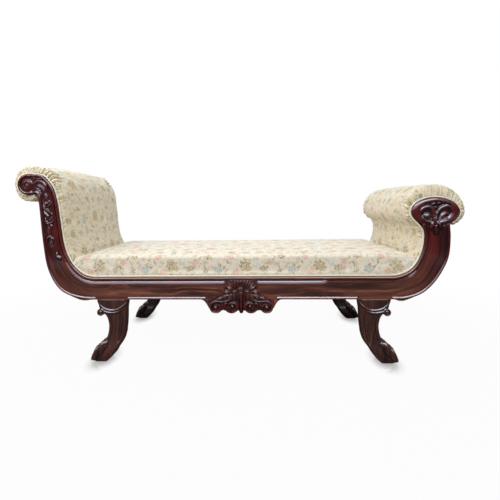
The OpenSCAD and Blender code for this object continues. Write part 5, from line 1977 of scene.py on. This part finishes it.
@dataclass
class OutsideCover:
    """Cloth stretched down the outer side of an arm and round the uprights' lower corner."""

    course: ArmCourse
    first: float
    last: float
    belly: float = 0.017
    belly_last: float = 2.7
    thickness: float = 0.0016
    clear: float = 0.0018
    ripple: float = 0.0004
    columns: int = 60

    def build(self) -> None:
        """Builds the cover as one sheet."""
        ts = self.course.even_places(self.first, self.last, 0.006)
        share = np.clip((ts - self.first) / (self.belly_last - self.first), 0, 1)
        swell = self.belly * np.sin(np.pi * share) ** 1.2
        y = np.linspace(-SIZES.border_y, SIZES.border_y, self.columns)
        fade = 1 - (np.abs(y) / SIZES.border_y) ** 16 * 0.7
        draw = np.random.default_rng(5)
        waves = (3 * draw.uniform(0.5, 2) * ts[:, None] + y * draw.uniform(8, 20) + draw.uniform(0, 6)
                 for _ in range(5))
        ripple = self.ripple * sum(np.sin(wave) for wave in waves)
        middle, half, across = self.course.stations(ts)
        away = half[:, None] + self.clear + (swell[:, None] + ripple) * fade
        xz = middle[:, None] - away[..., None] * across[:, None]
        points = np.stack([xz[..., 0], np.tile(y, (len(ts), 1)), xz[..., 1]], axis=2)
        along = path_lengths(xz[:, self.columns // 2])
        uvs = np.stack([np.tile(y - y[0], (len(ts), 1)), np.tile(along[:, None], (1, self.columns))], axis=2)
        side = self.course.end.name.lower()
        piece = lay_grid(f"{side}_outside_cloth", points, uvs)
        finish_modifier(piece, "SOLIDIFY", thickness=self.thickness, offset=0)
        turn_outwards(piece, 1e-6, close=False)
        shade(piece, 60)
        dress(piece, "tapestry-arms-shaded")
        stand_for(piece, "tapestry", f"{side}_outside_cover")


@dataclass
class DustCloth:
    """Black cambric tacked under the rails and cut out round the legs."""

    half_w: float = 0.2545
    leg_half: float = 0.068
    leg_inner_y: float = 0.25
    thickness: float = 0.0008
    sag: float = 0.0012

    def build(self) -> None:
        """Builds the cloth as one sheet."""
        x = np.unique([*np.linspace(SIZES.head_leg_x, SIZES.foot_leg_x, 90),
                       SIZES.head_leg_x + self.leg_half, SIZES.foot_leg_x - self.leg_half])
        y = np.unique([*np.linspace(-self.half_w, self.half_w, 40), -self.leg_inner_y, self.leg_inner_y])
        sag = self.sag * np.outer(np.sin(np.pi * np.linspace(0, 1, len(x))),
                                  np.cos(np.pi * y / (2 * self.half_w)))
        low = SIZES.rail_bottom - self.thickness
        points = np.stack([np.tile(x[:, None], (1, len(y))), np.tile(y, (len(x), 1)), low - sag], axis=2)
        piece = lay_grid("dust_cloth", points, points[..., :2])
        middles = [face.center for face in piece.data.polygons]
        choose_faces(piece, [min(x - SIZES.head_leg_x, SIZES.foot_leg_x - x) < self.leg_half
                             and abs(y) > self.leg_inner_y for x, y, _ in middles])
        bpy.ops.mesh.delete(type="FACE")
        bpy.ops.object.mode_set(mode="OBJECT")
        finish_modifier(piece, "SOLIDIFY", thickness=self.thickness, offset=0)
        turn_outwards(piece, 1e-6, close=False)
        shade(piece, 60)
        dress(piece, "cambric")
        stand_for(piece, "cambric", "dust_cover")


# Inner frame, studio and the whole


@dataclass
class InnerFrame:
    """Hidden beech members, blocks, dowels, screws, webbing and foam, shown as the solid model has them."""

    at_each_end: tuple[str, ...] = (
        "base_rail", "seat_brace", "corner_stretcher", "neck_stretcher", "roll_core", "arm_panel")
    others: tuple[tuple[str, str], ...] = (
        ("corner_blocks", "beech-x"), ("rail_dowels", "beech-x"), ("corner_screws", "screw-steel"),
        ("cross_webbing", "jute-webbing"), ("long_webbing", "jute-webbing"), ("seat_foam", "seat-foam"))

    def dress(self) -> None:
        """Gives each remaining solid its finish."""
        rows = [(f"{end.name.lower()}_{part}", "beech-y") for part in self.at_each_end for end in End]
        for node, finish in (*rows, *self.others):
            dress(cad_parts[node], finish)
        log.info("inner frame: %d solids dressed", len(rows) + len(self.others))


@dataclass
class Studio:
    """Pale floor, white background, soft lights and the photograph's camera."""

    camera_place: Way = (0.088, -1.742, 0.6478)
    camera_yaw: float = 2.647
    camera_roll: float = -0.764
    lens: float = 25.5
    sensor: float = 36.0
    shift: Span = (0.02298, -0.09474)
    floor_glow: float = 0.965
    floor_mirror: float = 0.6
    floor_blur: float = 0.04
    floor_in_gloss: Colour = (0.11, 0.11, 0.12)
    sole_x: float = 0.5805
    sole_y: float = 0.274
    dome: Colour = (0.93, 0.97, 1.0)
    window: Colour = (3.1, 3.25, 3.9)
    softbox: Colour = (12.0, 12.4, 14.4)

    def floor(self) -> None:
        """Lays the floor, which camera rays see mostly lit from within."""
        bpy.ops.mesh.primitive_plane_add(size=24, location=(0, 0, -0.0005))
        floor = bpy.context.object
        floor.name = "studio_floor"
        nodes, shader = new_material("studio-floor")
        place = nodes.add("TexCoord").outputs["Object"]
        cloud = nodes.noise(place, 3.0, 3.0)
        nodes.feed(shader, {"Base Color": nodes.blend(cloud, (0.31, 0.285, 0.245), (0.33, 0.305, 0.265)),
                            "Roughness": 0.6, "Specular IOR Level": 0.0})
        glow = nodes.add("Emission", {"Color": (1, 1, 1, 1), "Strength": 1.0}).outputs[0]
        mirror = nodes.add("BsdfGlossy", {"Color": (1, 1, 1, 1), "Roughness": self.floor_blur}).outputs[0]
        path = nodes.add("LightPath").outputs
        x, y, _ = nodes.parts(place)
        beside = nodes.times(nodes.step(nodes.math("ABSOLUTE", x), 1.7, 2.3), nodes.step(y, -3.4, -2.4),
                             nodes.step(y, -0.6, -0.9))
        dull = nodes.add("BsdfDiffuse", {"Color": nodes.blend(beside, self.floor_in_gloss, (0.7, 0.7, 0.72))})
        off_middle = nodes.math("ABSOLUTE", nodes.math("SUBTRACT", x, SIZES.apron_x))
        aside = nodes.times(nodes.math("SUBTRACT", off_middle, self.sole_x), 2.0)
        ahead = nodes.math("SUBTRACT", nodes.math("ABSOLUTE", y), self.sole_y)
        near = nodes.step(nodes.length(nodes.pair(aside, ahead)), 0.15, 0.03, 0.0, self.floor_mirror)
        shown = nodes.mix(near, glow, mirror)
        far = nodes.step(nodes.length(place), 0.9, 2.2, self.floor_glow, 1.0)
        seen = nodes.mix(nodes.times(path["Is Camera Ray"], far), shader.outputs[0], shown)
        nodes.end_in("OUTPUT_MATERIAL", nodes.mix(path["Is Glossy Ray"], seen, dull.outputs[0]))
        floor.data.materials.append(bpy.data.materials["studio-floor"])

    def world(self) -> None:
        """Makes the background white for the camera and a soft dome for everything else."""
        world = bpy.context.scene.world or bpy.data.worlds.new("Studio")
        bpy.context.scene.world = world
        world.use_nodes = True
        nodes = Nodes(world.node_tree)
        x, y, z = nodes.parts(nodes.add("TexCoord").outputs["Generated"])
        path = nodes.add("LightPath").outputs
        glossy = path["Is Glossy Ray"]
        matt = nodes.math("MULTIPLY_ADD", glossy, -0.85, 1.0)
        level = nodes.math("MAXIMUM", nodes.step(z, 0.05, 0.95, 0.12, 0.88),
                           nodes.times(nodes.step(y, 0.0, 0.45), matt))
        pane = nodes.times(nodes.step(z, 0.14, 0.26), nodes.step(z, 0.78, 0.55), nodes.step(y, -0.1, -0.4),
                           nodes.step(x, 0.8, 0.35), glossy)
        overhead = nodes.times(nodes.step(z, 0.42, 0.5), nodes.step(z, 0.82, 0.74),
                               nodes.step(nodes.math("ABSOLUTE", x), 0.5, 0.4), nodes.step(y, -0.3, -0.42),
                               glossy)

        def light(colour: Colour, strength: object = 1.0) -> Socket:
            """Background of one colour."""
            return nodes.add("Background", {"Color": (*colour, 1), "Strength": strength}).outputs[0]

        dome = nodes.mix(pane, light(self.dome, level), light(self.window))
        dome = nodes.mix(overhead, dome, light(self.softbox))
        nodes.end_in("OUTPUT_WORLD", nodes.mix(path["Is Camera Ray"], dome, light((1, 1, 1))))

    def light(self, name: str, place: Way, aim: Way, size: Span, power: float) -> None:
        """Hangs one soft rectangular light.

        Args:
            name: Its name.
            place: Where it hangs.
            aim: The place that it faces.
            size: Its width and height.
            power: Its power in watts.
        """
        bpy.ops.object.light_add(type="AREA", location=place)
        lamp = bpy.context.object
        lamp.name = name
        lamp.data.shape = "RECTANGLE"
        lamp.data.size, lamp.data.size_y = size
        lamp.data.energy = power
        lamp.visible_glossy = False
        way = Vector(aim) - Vector(place)
        lamp.rotation_euler = way.to_track_quat("-Z", "Y").to_euler()

    def camera(self) -> None:
        """Sets up the photograph's camera."""
        turn = (Matrix.Rotation(math.radians(self.camera_yaw), 4, "Z") @ Matrix.Rotation(math.pi / 2, 4, "X")
                @ Matrix.Rotation(math.radians(self.camera_roll), 4, "Z"))
        bpy.ops.object.camera_add(location=self.camera_place)
        camera = bpy.context.object
        camera.rotation_euler = turn.to_euler()
        camera.data.lens = self.lens
        camera.data.sensor_width = self.sensor
        camera.data.shift_x, camera.data.shift_y = self.shift
        bpy.context.scene.camera = camera

    def build(self) -> None:
        """Builds the whole studio."""
        self.floor()
        self.world()
        self.light("key_light", (-0.2, -2.5, 2.55), (0, 0, 0.35), (4.2, 1.8), 66)
        self.light("left_light", (-1.8, -0.5, 1.9), (0.8, 0, 0.45), (1.2, 1.2), 20)
        self.camera()
        bpy.context.scene.view_settings.view_transform = "Standard"
        bpy.context.scene.view_settings.look = "None"
        log.info("studio ready")


class Recamier:
    """The whole couch."""

    def build(self) -> None:
        """Builds and dresses every sub-assembly."""
        build_finishes()
        MouldedRail().build()
        ScrollUpright(
            HEAD_COURSE, 11.7, HEAD_CARVING, bevel_rows=((0, 1), (4.3, 1), (4.9, 0)),
            scroll_reach=HEAD_SCROLL, proud_scroll=False, strip_sink=0.007).build()
        ScrollUpright(
            FOOT_COURSE, 9.0, FOOT_CARVING, bevel_rows=((1, 0.25), (2, 0.3), (3, 0.7), (5, 0.4), (7, 0.1)),
            scroll_reach=FOOT_SCROLL, proud_scroll=True, strip_sink=0.009, rim_w=0.023, rim_h=0.005,
            rim_round=2, scroll_lift=0.0012).build()
        CarvedApron().build()
        SabreLeg().build()
        FixedSeat().build()
        head = RolledPad(
            HEAD_COURSE, seam=3.9, last=11.0, scroll_reach=HEAD_SCROLL, angles=(82.5, 300), thickness=0.026,
            top=0.043, side=0.026, inner=0.026, under=0.034, shoulder=0.016, edge_fullness=0.86)
        head.build(Gathers.scattered(11, (-0.4, -0.1, 0.023, 0.005, 0.026),
                                                    (-0.1, 0.01, 0.021, 0.0145, 0.056),
                                                    (0.01, 0.3, 0.023, 0.0052, 0.028)), 300, 21)
        foot = RolledPad(
            FOOT_COURSE, seam=4.4, last=8.0, scroll_reach=FOOT_SCROLL, angles=(225, -50), thickness=0.019,
            top=0.055, side=0.031, inner=0.02, under=0.016, shoulder=0.022)
        foot.build(Gathers.scattered(12, (-0.04, 0.16, 0.0095, 0.0125, 0.028),
                                                    (0.16, 0.3, 0.0135, 0.006, 0.022),
                                                    (0.3, 0.8, 0.0105, 0.0078, 0.018)), 380, 22)
        Piping().build()
        OutsideCover(HEAD_COURSE, 1.1, 9.5).build()
        OutsideCover(FOOT_COURSE, 1.1, 7.5).build()
        DustCloth().build()
        InnerFrame().dress()


def main() -> None:
    """Builds the couch and its studio."""
    Recamier().build()
    Studio().build()


if __name__ == "__main__":
    main()
